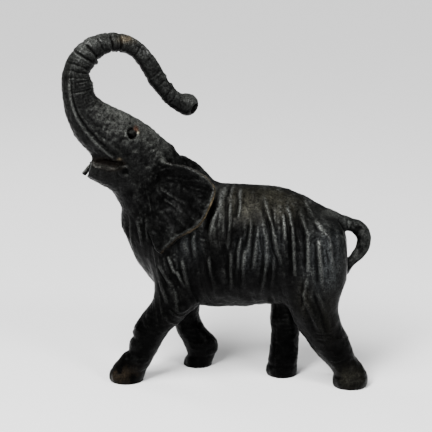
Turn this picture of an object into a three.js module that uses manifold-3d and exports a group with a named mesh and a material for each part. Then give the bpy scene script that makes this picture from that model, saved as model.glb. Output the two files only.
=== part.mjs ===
// A bronze elephant that strides with its trunk raised and curled back, cast in one piece.
// Millimetres, +Z up. The head is toward -X and the elephant's left side toward -Y.
// The origin lies on the ground, under the middle of the whole figure.
import * as THREE from "three";
import { mergeVertices } from "three/addons/utils/BufferGeometryUtils.js";
import Module from "manifold-3d";

const wasm = await Module();
wasm.setup();

// Driving dimensions
const HEIGHT = 450; // ground to the top of the raised trunk
const EAR_THICKNESS = 3; // cast thickness of the free part of an ear
const EAR_RIM = 4.4; // thickness of the rolled edge of an ear
const LIP_THICKNESS = 2.2; // the strip of lip that hangs on the far side of the mouth
const FILLET_REACH = 15; // how far the blend between a limb and the body runs
const SOLE_CUT = 12; // depth of the block that planes the four soles flat

// The form is a free one, so all that follows is in hundredths of the height
const UNIT = HEIGHT / 100;

// The head and the trunk stand in one upright plane, turned toward the elephant's left
const HEAD_TURN = THREE.MathUtils.degToRad(28);
const NECK_PIVOT = -13;
const BELLY_FULLNESS = 0.07; // how much wider the body is below its middle than above
const TRUNK_RING_DEPTH = 0.14; // the shallow rings of the trunk, crest to mean

// Ribs of the body: top x, top z, bottom x, bottom z, half width, share of the head's turn
const TORSO = [
  [37.1, 41.8, 37.3, 37.2, 1.9, 0],
  [36.4, 45.0, 37.0, 34.0, 4.6, 0],
  [35.2, 48.5, 36.1, 29.7, 7.1, 0],
  [33.3, 49.8, 34.1, 25.8, 9.3, 0],
  [29.6, 51.5, 30.1, 23.2, 11.1, 0],
  [25.4, 53.9, 25.5, 22.1, 12.2, 0],
  [20.5, 55.9, 20.3, 22.5, 12.9, 0],
  [14.9, 56.7, 14.6, 22.8, 13.3, 0],
  [9.2, 56.8, 9.1, 21.6, 13.6, 0],
  [4.0, 56.8, 3.5, 21.3, 13.3, 0],
];
const NECK = [
  [0.0, 57.5, -1.2, 21.3, 12.7, 0],
  [-1.7, 58.7, -7.6, 22.3, 11.8, 0],
  [-3.2, 60.2, -15.6, 25.0, 10.7, 0.1],
  [-4.7, 61.8, -21.6, 32.3, 9.6, 0.28],
  [-6.6, 63.0, -24.7, 38.6, 8.9, 0.5],
  [-9.1, 64.3, -26.4, 45.5, 8.3, 0.75],
  [-11.1, 65.9, -28.0, 50.8, 8.2, 0.93],
];
const HEAD = [
  [-12.9, 67.6, -29.0, 54.2, 8.4, 1],
  [-15.3, 69.9, -31.0, 58.9, 8.6, 1],
  [-18.2, 72.5, -33.2, 63.1, 8.4, 1],
  [-21.7, 75.2, -35.5, 66.1, 7.7, 1],
  [-25.2, 77.3, -37.6, 68.2, 6.7, 1],
  [-28.6, 78.9, -39.7, 70.7, 5.7, 1],
  [-31.8, 80.6, -41.7, 74.3, 4.9, 1],
  [-34.0, 82.4, -43.2, 77.7, 4.4, 1],
];
const TRUNK = [
  [-35.1, 84.3, -44.1, 81.7, 4.1, 1],
  [-35.6, 86.2, -44.3, 85.0, 3.9, 1],
  [-36.0, 88.5, -44.2, 88.0, 3.7, 1],
  [-35.4, 90.4, -43.4, 91.0, 3.5, 1],
  [-34.4, 92.0, -42.2, 93.7, 3.3, 1],
  [-32.7, 93.7, -39.6, 96.6, 3.1, 1],
  [-30.4, 94.7, -35.9, 98.9, 2.9, 1],
  [-28.1, 94.9, -31.4, 99.9, 2.7, 1],
  [-25.8, 94.4, -27.1, 99.5, 2.6, 1],
  [-23.8, 93.2, -22.8, 97.9, 2.4, 1],
  [-22.3, 91.5, -19.2, 94.9, 2.3, 1],
  [-20.6, 89.1, -16.4, 91.1, 2.2, 1],
  [-19.0, 86.2, -14.4, 87.7, 2.2, 1],
  [-17.1, 83.3, -13.0, 85.4, 2.2, 1],
  [-15.1, 80.5, -11.2, 83.4, 2.2, 1],
  [-12.9, 78.5, -9.7, 82.2, 2.2, 1],
  [-10.5, 76.9, -7.5, 81.0, 2.2, 1],
];
const TRUNK_TIP = {
  at: [-8.0, 0, 79.2],
  radius: 2.95,
  bore: 1.7,
  facing: [0.42, -0.55, -0.72],
  depth: 0.85, // where the bore's middle lies, as a share of the radius
};

// Ribs of the legs and the tail: front x, front z, rear x, rear z, half width, y
const LEFT_FORELEG = [
  [-15.1, 45.9, -2.3, 44.3, 5.8, -6.2],
  [-16.6, 38.6, -1.6, 36.8, 6.0, -6.7],
  [-16.9, 31.3, -1.9, 28.9, 5.6, -6.9],
  [-17.5, 24.0, -3.6, 23.7, 4.9, -7.3],
  [-19.9, 19.8, -8.2, 19.1, 4.2, -7.6],
  [-22.0, 16.2, -11.3, 16.5, 4.0, -7.8],
  [-23.0, 12.9, -13.7, 13.3, 3.8, -8.0],
  [-24.0, 9.6, -15.6, 9.7, 3.6, -8.2],
  [-26.4, 6.4, -17.3, 6.3, 3.7, -8.4],
  [-29.3, 3.0, -18.8, 3.5, 4.2, -8.4],
  [-29.6, 0.9, -19.7, 1.2, 4.6, -8.4],
  [-29.3, -0.9, -20.1, -0.7, 4.5, -8.4],
];
const RIGHT_FORELEG = [
  [-15.0, 43.0, -3.2, 41.2, 5.3, 6.2],
  [-14.6, 35.3, -3.9, 34.2, 5.6, 6.7],
  [-14.7, 27.6, -4.8, 26.5, 5.3, 6.9],
  [-14.2, 19.9, -5.5, 19.3, 4.4, 7.1],
  [-13.6, 15.2, -6.1, 15.9, 4.0, 7.3],
  [-12.5, 10.5, -4.4, 11.5, 3.8, 7.6],
  [-10.7, 6.8, -1.1, 7.9, 3.9, 7.8],
  [-9.6, 3.6, -0.7, 4.7, 3.7, 8.0],
  [-10.5, 1.3, -1.9, 2.0, 4.0, 8.2],
  [-11.0, -0.9, -2.4, -0.5, 4.2, 8.2],
];
const LEFT_HIND_LEG = [
  [20.4, 47.0, 37.2, 43.3, 4.9, -6.2],
  [19.9, 40.0, 38.1, 38.3, 5.8, -6.9],
  [20.6, 32.8, 37.4, 32.6, 6.0, -7.1],
  [21.8, 25.5, 35.6, 25.2, 5.8, -6.9],
  [23.8, 18.9, 36.2, 20.1, 5.1, -6.4],
  [26.7, 14.1, 38.3, 15.5, 4.4, -5.8],
  [29.2, 10.4, 39.5, 11.5, 4.1, -5.1],
  [31.8, 7.0, 40.8, 8.3, 3.9, -4.4],
  [34.0, 4.3, 43.0, 5.6, 4.2, -4.0],
  [34.5, 1.9, 44.3, 3.1, 4.7, -4.0],
  [34.6, -0.9, 44.0, -0.4, 4.6, -4.0],
];
const RIGHT_HIND_LEG = [
  [17.2, 41.0, 30.9, 38.5, 4.9, 6.2],
  [16.4, 32.9, 29.0, 31.5, 5.6, 6.4],
  [16.2, 26.0, 26.2, 24.9, 5.3, 6.2],
  [15.7, 20.9, 24.8, 21.0, 4.7, 5.8],
  [15.7, 16.3, 24.4, 16.7, 4.1, 4.9],
  [16.1, 11.9, 24.0, 12.3, 3.9, 4.2],
  [15.6, 6.6, 23.7, 7.0, 3.9, 3.6],
  [14.7, 1.5, 23.5, 2.5, 4.2, 3.1],
  [15.0, -0.9, 23.3, -0.5, 4.2, 3.1],
];
const TAIL = [
  [32.0, 50.3, 34.3, 44.0, 2.2, 0.0],
  [35.3, 49.3, 36.0, 44.6, 1.9, 0.0],
  [38.2, 48.6, 38.0, 44.5, 1.7, 0.0],
  [41.0, 47.6, 39.4, 43.6, 1.6, 0.0],
  [43.0, 45.8, 40.3, 42.3, 1.6, 0.0],
  [44.0, 42.9, 40.4, 41.3, 1.5, 0.0],
  [43.7, 39.7, 39.9, 39.7, 1.3, -0.4],
  [42.2, 37.3, 38.9, 38.0, 1.2, -0.9],
  [40.4, 35.6, 38.0, 36.8, 1.2, -1.5],
  [39.2, 34.3, 36.8, 35.3, 1.1, -2.2],
  [38.0, 32.9, 35.6, 34.0, 1.0, -3.0],
];

// Folds of the hide on either side: top x, top z, bottom x, bottom z, half breadth, height
const FOLDS = [
  [2.7, 57.0, 0.1, 44.1, 1.5, 0.55],
  [5.3, 53.6, 5.3, 41.6, 0.9, 0.3],
  [7.6, 57.2, 7.9, 49.2, 0.9, 0.25],
  [6.0, 40.1, 6.3, 30.0, 0.9, 0.3],
  [11.6, 48.6, 11.0, 41.5, 1.0, 0.35],
  [10.2, 41.5, 9.7, 30.2, 1.0, 0.35],
  [14.5, 55.0, 17.3, 48.0, 1.0, 0.4],
  [17.4, 48.3, 20.3, 37.3, 1.1, 0.5],
  [16.0, 44.4, 14.7, 28.6, 1.0, 0.35],
  [20.3, 50.8, 21.0, 43.7, 0.9, 0.3],
  [21.1, 52.7, 23.1, 46.8, 1.0, 0.4],
  [23.1, 46.9, 23.9, 34.4, 1.1, 0.5],
  [24.4, 55.5, 28.3, 49.7, 0.9, 0.3],
  [24.9, 51.2, 27.2, 45.3, 0.9, 0.35],
  [27.3, 45.5, 27.7, 35.9, 1.0, 0.4],
  [30.2, 44.5, 31.3, 32.3, 1.0, 0.35],
  [-4.5, 45.6, -3.7, 38.4, 1.1, 0.4],
  [-0.1, 38.1, 1.6, 30.1, 1.1, 0.35],
  [-22.8, 48.6, -22.6, 38.9, 0.9, 0.35],
  [-20.0, 48.4, -19.6, 40.0, 0.9, 0.35],
  [-17.2, 49.1, -17.0, 41.0, 0.9, 0.3],
];

// Hollows: centre x, centre z, half length, half height, depth
const HOLLOWS = [
  [3.5, 40.5, 4.0, 7.5, 0.9],
  [19.0, 30.5, 3.0, 5.0, 0.6],
  [-12.5, 46.0, 3.2, 6.0, 0.5],
];

// The left ear, before the head's turn: its root line and its free edge, both from top to lobe
const EAR_ROOT = [
  [-21.2, -3.4, 64.6],
  [-21.3, -3.8, 60.5],
  [-21.4, -4.2, 56.3],
  [-21.3, -4.8, 52.1],
  [-21.1, -5.7, 48.0],
  [-20.9, -7.0, 43.9],
  [-20.4, -9.2, 40.4],
];
const EAR_EDGE = [
  [-20.1, -5.4, 65.9],
  [-16.5, -8.4, 64.1],
  [-12.1, -12.1, 63.4],
  [-8.3, -15.1, 61.3],
  [-6.3, -16.7, 59.0],
  [-5.9, -17.4, 57.1],
  [-6.6, -17.7, 55.0],
  [-7.8, -17.8, 52.6],
  [-9.2, -17.6, 49.8],
  [-11.3, -16.8, 47.2],
  [-13.8, -15.4, 45.4],
  [-15.9, -14.0, 44.0],
  [-17.8, -12.5, 41.7],
  [-19.5, -10.7, 39.5],
];
const EAR_CUP = 1.3; // how far the middle of an ear lies in toward the neck
const RIM_START = 0.8; // where the ear begins to thicken, as a share of the way to its edge
const EAR_PLEATS = 4; // pleats that fan out from the root
const EAR_PLEAT_HEIGHT = 0.28;
const FAR_EAR_FLARE = THREE.MathUtils.degToRad(38); // the right ear swings out from its root

// The mouth, before the head's turn. Ribs as on the body
const LOWER_JAW = [
  [-24.5, 66.0, -27.5, 53.8, 5.6, 1],
  [-28.0, 67.0, -31.5, 56.6, 5.4, 1],
  [-31.5, 67.8, -34.2, 58.2, 4.7, 1],
  [-34.6, 68.0, -36.3, 59.4, 3.7, 1],
  [-36.4, 67.4, -38.0, 60.2, 2.7, 1],
];
const MOUTH = [
  [-30.0, 65.0, -30.0, 61.8, 1.8, 1],
  [-34.0, 66.4, -34.0, 60.8, 2.6, 1],
  [-40.5, 68.4, -40.5, 60.9, 2.9, 1],
];

// Ribs of the furrow between the left cheek and the jaw, as on the legs
const LIP_FURROW = [
  [-29.8, 65.3, -29.8, 64.2, 0.9, -6.9],
  [-31.5, 66.0, -31.5, 62.8, 2.0, -6.7],
  [-34.0, 66.3, -34.0, 61.8, 2.2, -5.9],
  [-36.4, 66.4, -36.4, 61.7, 2.0, -4.9],
  [-39.0, 66.6, -39.0, 61.9, 1.8, -4.2],
];
const FAR_LIP = [
  [-35.2, 66.6, -33.4, 65.4, 3.3],
  [-36.0, 64.6, -34.6, 63.6, 3.1],
  [-37.3, 62.9, -36.3, 62.0, 2.5],
  [-38.6, 61.7, -37.9, 61.1, 1.8],
];
const EYE = { at: [-26.0, -6.2, 72.6], ball: 1.15, socket: 1.6, inset: 0.9 };

// Meshing
const BODY_SIDES = 24;
const LEG_SIDES = 13;
const TAIL_SIDES = 8;
const HEAD_SIDES = 12; // the jaw and the mouth
const BALL_SIDES = 12;
const LOFT_STEPS = 2; // rings to each rib of the legs, the tail, the jaw and the mouth
const NECK_STEPS = 2;
const TRUNK_STEPS = 4; // the torso has as many
const EAR_ROWS = 15;
const EAR_COLUMNS = 6;
const FILLET_ROUNDS = 14; // passes that smooth the seams

// One number on the curve through b and c, a share t of the way along
function onCurve(a, b, c, d, t) {
  const bend = (2 * a - 5 * b + 4 * c - d) * t * t;
  const twist = (3 * b - a - 3 * c + d) * t * t * t;
  return b + ((c - a) * t + bend + twist) / 2;
}

// The row of a table at a place between two of its rows
function rowAt(rows, place) {
  const last = rows.length - 1;
  const index = Math.min(Math.floor(place), last - 1);
  const before = rows[Math.max(index - 1, 0)];
  const after = rows[Math.min(index + 2, last)];
  const share = place - index;
  return rows[index].map((value, column) =>
    onCurve(before[column], value, rows[index + 1][column], after[column], share));
}

function turned(x, y, z, share) {
  const angle = HEAD_TURN * share;
  const reach = x - NECK_PIVOT;
  const newX = NECK_PIVOT + reach * Math.cos(angle) - y * Math.sin(angle);
  return new THREE.Vector3(newX, reach * Math.sin(angle) + y * Math.cos(angle), z);
}

// Height of the folds, less the hollows, on the side of the body at x and z
function hideRelief(x, z) {
  let height = 0;
  for (const [topX, topZ, bottomX, bottomZ, breadth, rise] of FOLDS) {
    const runX = bottomX - topX;
    const runZ = bottomZ - topZ;
    const along = ((x - topX) * runX + (z - topZ) * runZ) / (runX * runX + runZ * runZ);
    const share = THREE.MathUtils.clamp(along, 0, 1);
    const distance = Math.hypot(x - topX - share * runX, z - topZ - share * runZ);
    height += rise * Math.exp(-((distance / breadth) ** 2));
  }
  for (const [centreX, centreZ, halfLength, halfHeight, depth] of HOLLOWS) {
    const distance = ((x - centreX) / halfLength) ** 2 + ((z - centreZ) / halfHeight) ** 2;
    height -= depth * Math.exp(-distance);
  }
  return height;
}

// A closed ring of points on a rib of the body
function bodyRing(rib, sides, relief) {
  const [topX, topZ, bottomX, bottomZ, halfWidth, turn] = rib;
  const upX = (topX - bottomX) / 2;
  const upZ = (topZ - bottomZ) / 2;
  const middleX = (topX + bottomX) / 2;
  const middleZ = (topZ + bottomZ) / 2;
  const halfHeight = Math.hypot(upX, upZ);
  return Array.from({ length: sides }, (_, index) => {
    const angle = (2 * Math.PI * index) / sides;
    const up = Math.cos(angle);
    const side = Math.sin(angle) * (1 - BELLY_FULLNESS * up);
    const plain = turned(middleX + upX * up, halfWidth * side, middleZ + upZ * up, turn);
    const radius = Math.hypot(halfHeight * up, halfWidth * side);
    const swell = 1 + (relief(plain.x, plain.z) * Math.abs(side)) / radius;
    const x = middleX + upX * up * swell;
    const z = middleZ + upZ * up * swell;
    return turned(x, halfWidth * side * swell, z, turn);
  });
}

// A closed ring of points on a rib of a limb
function limbRing(rib, sides) {
  const [frontX, frontZ, rearX, rearZ, halfWidth, y] = rib;
  return Array.from({ length: sides }, (_, index) => {
    const angle = (2 * Math.PI * index) / sides;
    const front = Math.cos(angle) / 2;
    const x = (frontX + rearX) / 2 + (frontX - rearX) * front;
    const z = (frontZ + rearZ) / 2 + (frontZ - rearZ) * front;
    return new THREE.Vector3(x, y + halfWidth * Math.sin(angle), z);
  });
}

// A closed skin over rings of points, where a ring may have half the points of the one before
function skin(rings) {
  const points = [];
  const faces = [];
  const starts = rings.map((ring) => {
    const start = points.length;
    points.push(...ring);
    return start;
  });
  for (let r = 0; r + 1 < rings.length; r += 1) {
    const count = rings[r].length;
    const nextCount = rings[r + 1].length;
    const a = starts[r];
    const b = starts[r + 1];
    if (count === nextCount) {
      for (let i = 0; i < count; i += 1) {
        const j = (i + 1) % count;
        faces.push([a + i, a + j, b + i], [a + j, b + j, b + i]);
      }
    } else {
      for (let i = 0; i < nextCount; i += 1) {
        const j = (i + 1) % nextCount;
        const middle = a + 2 * i + 1;
        const end = a + ((2 * i + 2) % count);
        faces.push([a + 2 * i, middle, b + i], [middle, b + j, b + i], [middle, end, b + j]);
      }
    }
  }
  for (const [ring, start, flip] of [[rings[0], starts[0], true], [rings.at(-1), starts.at(-1), false]]) {
    const centre = points.length;
    const sum = ring.reduce((total, point) => total.add(point), new THREE.Vector3());
    points.push(sum.divideScalar(ring.length));
    ring.forEach((_, i) => {
      const j = (i + 1) % ring.length;
      faces.push(flip ? [start + j, start + i, centre] : [start + i, start + j, centre]);
    });
  }
  return closedGeometry(points, faces);
}

// Points in hundredths of the height and their faces as a geometry in millimetres, faces out
function closedGeometry(points, faces) {
  const placed = points.map((point) => point.clone().multiplyScalar(UNIT));
  let volume = 0;
  for (const [a, b, c] of faces) {
    volume += placed[a].dot(new THREE.Vector3().crossVectors(placed[b], placed[c]));
  }
  const ordered = volume > 0 ? faces : faces.map(([a, b, c]) => [a, c, b]);
  const geometry = new THREE.BufferGeometry().setFromPoints(placed);
  geometry.setIndex(ordered.flat());
  return geometry;
}

function solidOf(geometry) {
  const bare = geometry.clone();
  bare.deleteAttribute("normal");
  bare.deleteAttribute("uv");
  const merged = mergeVertices(bare);
  return new wasm.Manifold(new wasm.Mesh({
    numProp: 3,
    vertProperties: new Float32Array(merged.attributes.position.array),
    triVerts: new Uint32Array(merged.index.array),
  }));
}

function geometryOf(solid) {
  const mesh = solid.getMesh();
  const geometry = new THREE.BufferGeometry();
  geometry.setAttribute("position", new THREE.BufferAttribute(mesh.vertProperties, 3));
  geometry.setIndex(new THREE.BufferAttribute(mesh.triVerts, 1));
  return mergeVertices(geometry);
}

function ball(at, radius) {
  const geometry = new THREE.SphereGeometry(radius * UNIT, BALL_SIDES, BALL_SIDES / 2);
  const centre = turned(at[0], at[1], at[2], 1).multiplyScalar(UNIT);
  return solidOf(geometry.translate(centre.x, centre.y, centre.z));
}

// Torso, neck, head and trunk in one skin
function bodySolid() {
  const rows = [...TORSO, ...NECK, ...HEAD, ...TRUNK];
  const headEnd = TORSO.length + NECK.length + HEAD.length - 1;
  const rings = [];
  for (let place = 0; place < rows.length - 1; ) {
    const onTrunk = place > headEnd;
    const relief = onTrunk ? trunkRelief(place - headEnd) : hideRelief;
    rings.push(bodyRing(rowAt(rows, place), onTrunk ? BODY_SIDES / 2 : BODY_SIDES, relief));
    const onNeck = place >= TORSO.length - 1 && place < headEnd;
    const steps = onNeck ? NECK_STEPS : TRUNK_STEPS;
    place += 1 / steps;
  }
  rings.push(bodyRing(rows.at(-1), BODY_SIDES / 2, () => 0));
  return solidOf(skin(rings));
}

// Shallow rings that run round the trunk
function trunkRelief(place) {
  const wave = Math.cos(place * TRUNK_STEPS * Math.PI);
  return () => wave * TRUNK_RING_DEPTH;
}

function limbSolid(rows, sides) {
  const count = (rows.length - 1) * LOFT_STEPS;
  const rings = Array.from({ length: count + 1 }, (_, index) =>
    limbRing(rowAt(rows, index / LOFT_STEPS), sides));
  return solidOf(skin(rings));
}

function headSolid(rows) {
  const count = (rows.length - 1) * LOFT_STEPS;
  const rings = Array.from({ length: count + 1 }, (_, index) =>
    bodyRing(rowAt(rows, index / LOFT_STEPS), HEAD_SIDES, () => 0));
  return solidOf(skin(rings));
}

// A small loft on the head, from ribs as on the legs
function turnedSolid(rows) {
  const rings = rows.map((row) =>
    limbRing(row, TAIL_SIDES).map((point) => turned(point.x, point.y, point.z, 1)));
  return solidOf(skin(rings));
}

function lipFurrow(side) {
  return turnedSolid(LIP_FURROW.map(([topX, topZ, lowX, lowZ, halfWidth, y]) =>
    [topX, topZ, lowX, lowZ, halfWidth, y * side]));
}

// The strip of lip on the far side of the mouth
function farLip() {
  const halfThickness = LIP_THICKNESS / 2 / UNIT;
  return turnedSolid(FAR_LIP.map(([frontX, frontZ, rearX, rearZ, y]) =>
    [frontX, frontZ, rearX, rearZ, halfThickness, y]));
}

// An ear as a pleated sheet with a rolled rim, before the head's turn
function earSolid(mirror, flare) {
  const middle = (row, column) => {
    const down = row / (EAR_ROWS - 1);
    const out = column / (EAR_COLUMNS - 1);
    const root = rowAt(EAR_ROOT, down * (EAR_ROOT.length - 1));
    const edge = rowAt(EAR_EDGE, down * (EAR_EDGE.length - 1));
    const swell = Math.sin(Math.PI * out) * Math.sin(Math.PI * down);
    const pleat = Math.cos(2 * Math.PI * EAR_PLEATS * down) * EAR_PLEAT_HEIGHT;
    const reachX = (edge[0] - root[0]) * out;
    const reachY = (edge[1] - root[1]) * out + EAR_CUP * swell + pleat * Math.sin(Math.PI * out);
    const x = root[0] + reachX * Math.cos(flare) + reachY * Math.sin(flare);
    const y = root[1] - reachX * Math.sin(flare) + reachY * Math.cos(flare);
    return new THREE.Vector3(x, y, THREE.MathUtils.lerp(root[2], edge[2], out));
  };
  const rimShare = (column) => THREE.MathUtils.smoothstep(column / (EAR_COLUMNS - 1), RIM_START, 1);
  const sheets = [-1, 1].map((side) => {
    const rows = [];
    for (let row = 0; row < EAR_ROWS; row += 1) {
      for (let column = 0; column < EAR_COLUMNS; column += 1) {
        const nearRow = Math.max(row - 1, 0);
        const nearColumn = Math.max(column - 1, 0);
        const across = middle(row, Math.min(column + 1, EAR_COLUMNS - 1)).sub(middle(row, nearColumn));
        const along = middle(Math.min(row + 1, EAR_ROWS - 1), column).sub(middle(nearRow, column));
        const normal = across.cross(along).normalize();
        const thickness = THREE.MathUtils.lerp(EAR_THICKNESS, EAR_RIM, rimShare(column)) / UNIT;
        rows.push(middle(row, column).addScaledVector(normal, (side * thickness) / 2));
      }
    }
    return rows;
  });
  const points = [...sheets[0], ...sheets[1]].map((point) => turned(point.x, point.y * mirror, point.z, 1));
  const back = sheets[0].length;
  const faces = [];
  const at = (row, column) => row * EAR_COLUMNS + column;
  const quad = (a, b, c, d) => faces.push([a, b, c], [a, c, d]);
  for (let row = 0; row + 1 < EAR_ROWS; row += 1) {
    for (let column = 0; column + 1 < EAR_COLUMNS; column += 1) {
      const corners = [at(row, column), at(row, column + 1), at(row + 1, column + 1), at(row + 1, column)];
      quad(...corners);
      quad(...corners.map((corner) => corner + back).reverse());
    }
  }
  const columns = Array.from({ length: EAR_COLUMNS - 1 }, (_, column) => column);
  const downRows = Array.from({ length: EAR_ROWS - 1 }, (_, row) => row);
  const border = [
    ...columns.map((column) => at(0, column)),
    ...downRows.map((row) => at(row, EAR_COLUMNS - 1)),
    ...columns.map((column) => at(EAR_ROWS - 1, EAR_COLUMNS - 1 - column)),
    ...downRows.map((row) => at(EAR_ROWS - 1 - row, 0)),
  ];
  border.forEach((point, index) => {
    const next = border[(index + 1) % border.length];
    quad(next, point, point + back, next + back);
  });
  return solidOf(closedGeometry(points, faces));
}

// Round off the seams where joined solids meet, less and less up to the reach of the fillet
function blendSeams(joined, pieces) {
  const keyOf = (array, index) => [0, 1, 2].map((axis) => array[3 * index + axis].toFixed(3)).join(" ");
  const known = new Set();
  for (const piece of pieces) {
    const array = geometryOf(piece).attributes.position.array;
    for (let i = 0; i < array.length / 3; i += 1) known.add(keyOf(array, i));
  }
  const geometry = geometryOf(joined);
  const position = geometry.attributes.position;
  const points = Array.from({ length: position.count }, (_, i) =>
    new THREE.Vector3().fromBufferAttribute(position, i));
  const seam = points.filter((_, i) => !known.has(keyOf(position.array, i)));
  const weights = points.map((point) => {
    const distance = Math.min(...seam.map((other) => other.distanceTo(point)));
    return Math.max(0, 1 - distance / FILLET_REACH);
  });
  const neighbours = points.map(() => new Set());
  const corners = geometry.index.array;
  for (let i = 0; i < corners.length; i += 3) {
    for (let k = 0; k < 3; k += 1) {
      neighbours[corners[i + k]].add(corners[i + ((k + 1) % 3)]);
      neighbours[corners[i + ((k + 1) % 3)]].add(corners[i + k]);
    }
  }
  for (let round = 0; round < FILLET_ROUNDS; round += 1) {
    const means = points.map((_, i) => {
      const mean = new THREE.Vector3();
      neighbours[i].forEach((other) => mean.add(points[other]));
      return mean.divideScalar(neighbours[i].size);
    });
    points.forEach((point, i) => point.lerp(means[i], weights[i] / 2));
  }
  points.forEach((point, i) => position.setXYZ(i, point.x, point.y, point.z));
  return solidOf(geometry);
}

// The block under the ground plane that leaves the soles flat
function groundBlock() {
  const side = 2 * HEIGHT;
  return solidOf(new THREE.BoxGeometry(side, side, SOLE_CUT).translate(0, 0, -SOLE_CUT / 2));
}

function trunkTip() {
  const { at, radius, bore, facing, depth } = TRUNK_TIP;
  const boreAt = at.map((value, axis) => value + facing[axis] * radius * depth);
  return { knob: ball(at, radius), hollow: ball(boreAt, bore) };
}

function elephantGeometry() {
  const legs = [LEFT_FORELEG, RIGHT_FORELEG, LEFT_HIND_LEG, RIGHT_HIND_LEG];
  const tip = trunkTip();
  const blended = [
    bodySolid(),
    ...legs.map((rows) => limbSolid(rows, LEG_SIDES)),
    limbSolid(TAIL, TAIL_SIDES),
    headSolid(LOWER_JAW),
  ];
  const joined = blended.reduce((sum, piece) => sum.add(piece));
  let solid = blendSeams(joined, blended).subtract(groundBlock());
  solid = solid.add(tip.knob).subtract(tip.hollow);
  solid = solid.subtract(headSolid(MOUTH));
  for (const side of [1, -1]) {
    const [x, y, z] = EYE.at;
    solid = solid.subtract(lipFurrow(side));
    solid = solid.subtract(ball([x, (y - EYE.inset) * side, z], EYE.socket));
    solid = solid.add(ball([x, y * side, z], EYE.ball));
  }
  solid = solid.add(farLip()).add(earSolid(1, 0)).add(earSolid(-1, FAR_EAR_FLARE));
  const geometry = geometryOf(solid);
  geometry.computeBoundingBox();
  const { min, max } = geometry.boundingBox;
  return geometry.translate(-(min.x + max.x) / 2, -(min.y + max.y) / 2, -min.z);
}

const bronze = new THREE.MeshStandardMaterial({ color: 0x2c2d2b, roughness: 0.42, metalness: 0.85 });
const elephant = new THREE.Mesh(elephantGeometry(), bronze);
elephant.name = "elephant";

const figure = new THREE.Group();
figure.add(elephant);
export default figure;
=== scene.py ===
import itertools
import math

import bpy
import numpy as np
import openvdb as vdb
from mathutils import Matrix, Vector, kdtree


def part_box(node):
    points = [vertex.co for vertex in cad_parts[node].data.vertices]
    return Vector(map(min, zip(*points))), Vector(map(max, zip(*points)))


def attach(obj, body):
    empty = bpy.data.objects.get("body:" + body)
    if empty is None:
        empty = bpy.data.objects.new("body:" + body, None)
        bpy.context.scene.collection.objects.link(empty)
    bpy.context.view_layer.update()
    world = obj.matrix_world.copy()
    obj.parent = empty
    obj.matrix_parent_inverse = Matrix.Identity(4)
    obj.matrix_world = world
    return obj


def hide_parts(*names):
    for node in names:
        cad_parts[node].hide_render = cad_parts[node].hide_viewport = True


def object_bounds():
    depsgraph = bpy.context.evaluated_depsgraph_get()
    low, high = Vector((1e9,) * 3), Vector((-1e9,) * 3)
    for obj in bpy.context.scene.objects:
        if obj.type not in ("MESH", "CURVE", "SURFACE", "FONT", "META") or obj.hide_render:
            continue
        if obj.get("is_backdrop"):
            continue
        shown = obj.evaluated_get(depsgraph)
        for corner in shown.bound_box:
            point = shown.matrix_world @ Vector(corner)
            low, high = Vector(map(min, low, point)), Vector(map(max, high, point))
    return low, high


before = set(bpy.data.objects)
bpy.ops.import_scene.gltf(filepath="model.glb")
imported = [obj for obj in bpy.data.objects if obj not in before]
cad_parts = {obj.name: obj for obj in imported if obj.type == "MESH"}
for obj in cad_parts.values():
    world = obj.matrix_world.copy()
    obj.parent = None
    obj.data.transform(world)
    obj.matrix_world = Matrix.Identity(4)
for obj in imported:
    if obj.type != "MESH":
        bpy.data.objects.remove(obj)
cad_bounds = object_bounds()

# Sizes. The working unit is one hundredth of the height, and UNIT is its length in metres
FORM_TOP = 99.93
CAD_LOW, CAD_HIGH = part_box("elephant")
UNIT = (CAD_HIGH.z - CAD_LOW.z) / FORM_TOP
MILLIMETRE = 0.001 / UNIT
EAR_THICKNESS = 3 * MILLIMETRE
EAR_RIM = 4.4 * MILLIMETRE
LIP_THICKNESS = 2.2 * MILLIMETRE
FAR_LIP_HALF_WIDTH = 0.7 * LIP_THICKNESS

# The head and the trunk stand in one upright plane, turned toward the elephant's left
HEAD_TURN = math.radians(28)
NECK_PIVOT = -13

# Ribs of the body: top x, top z, bottom x, bottom z, half width, share of the head's turn
TORSO = [
    [37.1, 41.8, 37.3, 37.2, 1.9, 0],
    [36.4, 45.0, 37.0, 34.0, 4.6, 0],
    [35.2, 48.5, 36.1, 29.7, 7.1, 0],
    [33.3, 49.8, 34.1, 25.8, 9.3, 0],
    [29.6, 51.5, 30.1, 23.2, 11.1, 0],
    [25.4, 53.9, 25.5, 22.1, 12.2, 0],
    [20.5, 55.9, 20.3, 22.5, 12.9, 0],
    [14.9, 56.7, 14.6, 22.8, 13.3, 0],
    [9.2, 56.8, 9.1, 21.6, 13.6, 0],
    [4.0, 56.8, 3.5, 21.3, 13.3, 0],
]
NECK = [
    [0.0, 57.5, -1.2, 21.3, 12.7, 0],
    [-1.7, 58.7, -7.6, 22.3, 11.8, 0],
    [-3.2, 60.2, -15.6, 25.0, 10.7, 0.1],
    [-4.7, 61.8, -21.6, 32.3, 9.6, 0.28],
    [-6.6, 63.0, -24.7, 38.6, 8.9, 0.5],
    [-9.1, 64.3, -26.4, 45.5, 8.3, 0.75],
    [-11.1, 65.9, -28.0, 50.8, 8.2, 0.93],
]
HEAD = [
    [-12.9, 67.6, -29.0, 54.2, 8.4, 1],
    [-15.3, 69.9, -31.0, 58.9, 8.6, 1],
    [-18.2, 72.5, -33.2, 63.1, 8.4, 1],
    [-21.7, 75.2, -35.5, 66.1, 7.7, 1],
    [-25.2, 77.3, -37.6, 68.2, 6.7, 1],
    [-28.6, 78.9, -39.7, 70.7, 5.7, 1],
    [-31.8, 80.6, -41.7, 74.3, 4.9, 1],
    [-34.0, 82.4, -43.2, 77.7, 4.4, 1],
]
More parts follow.
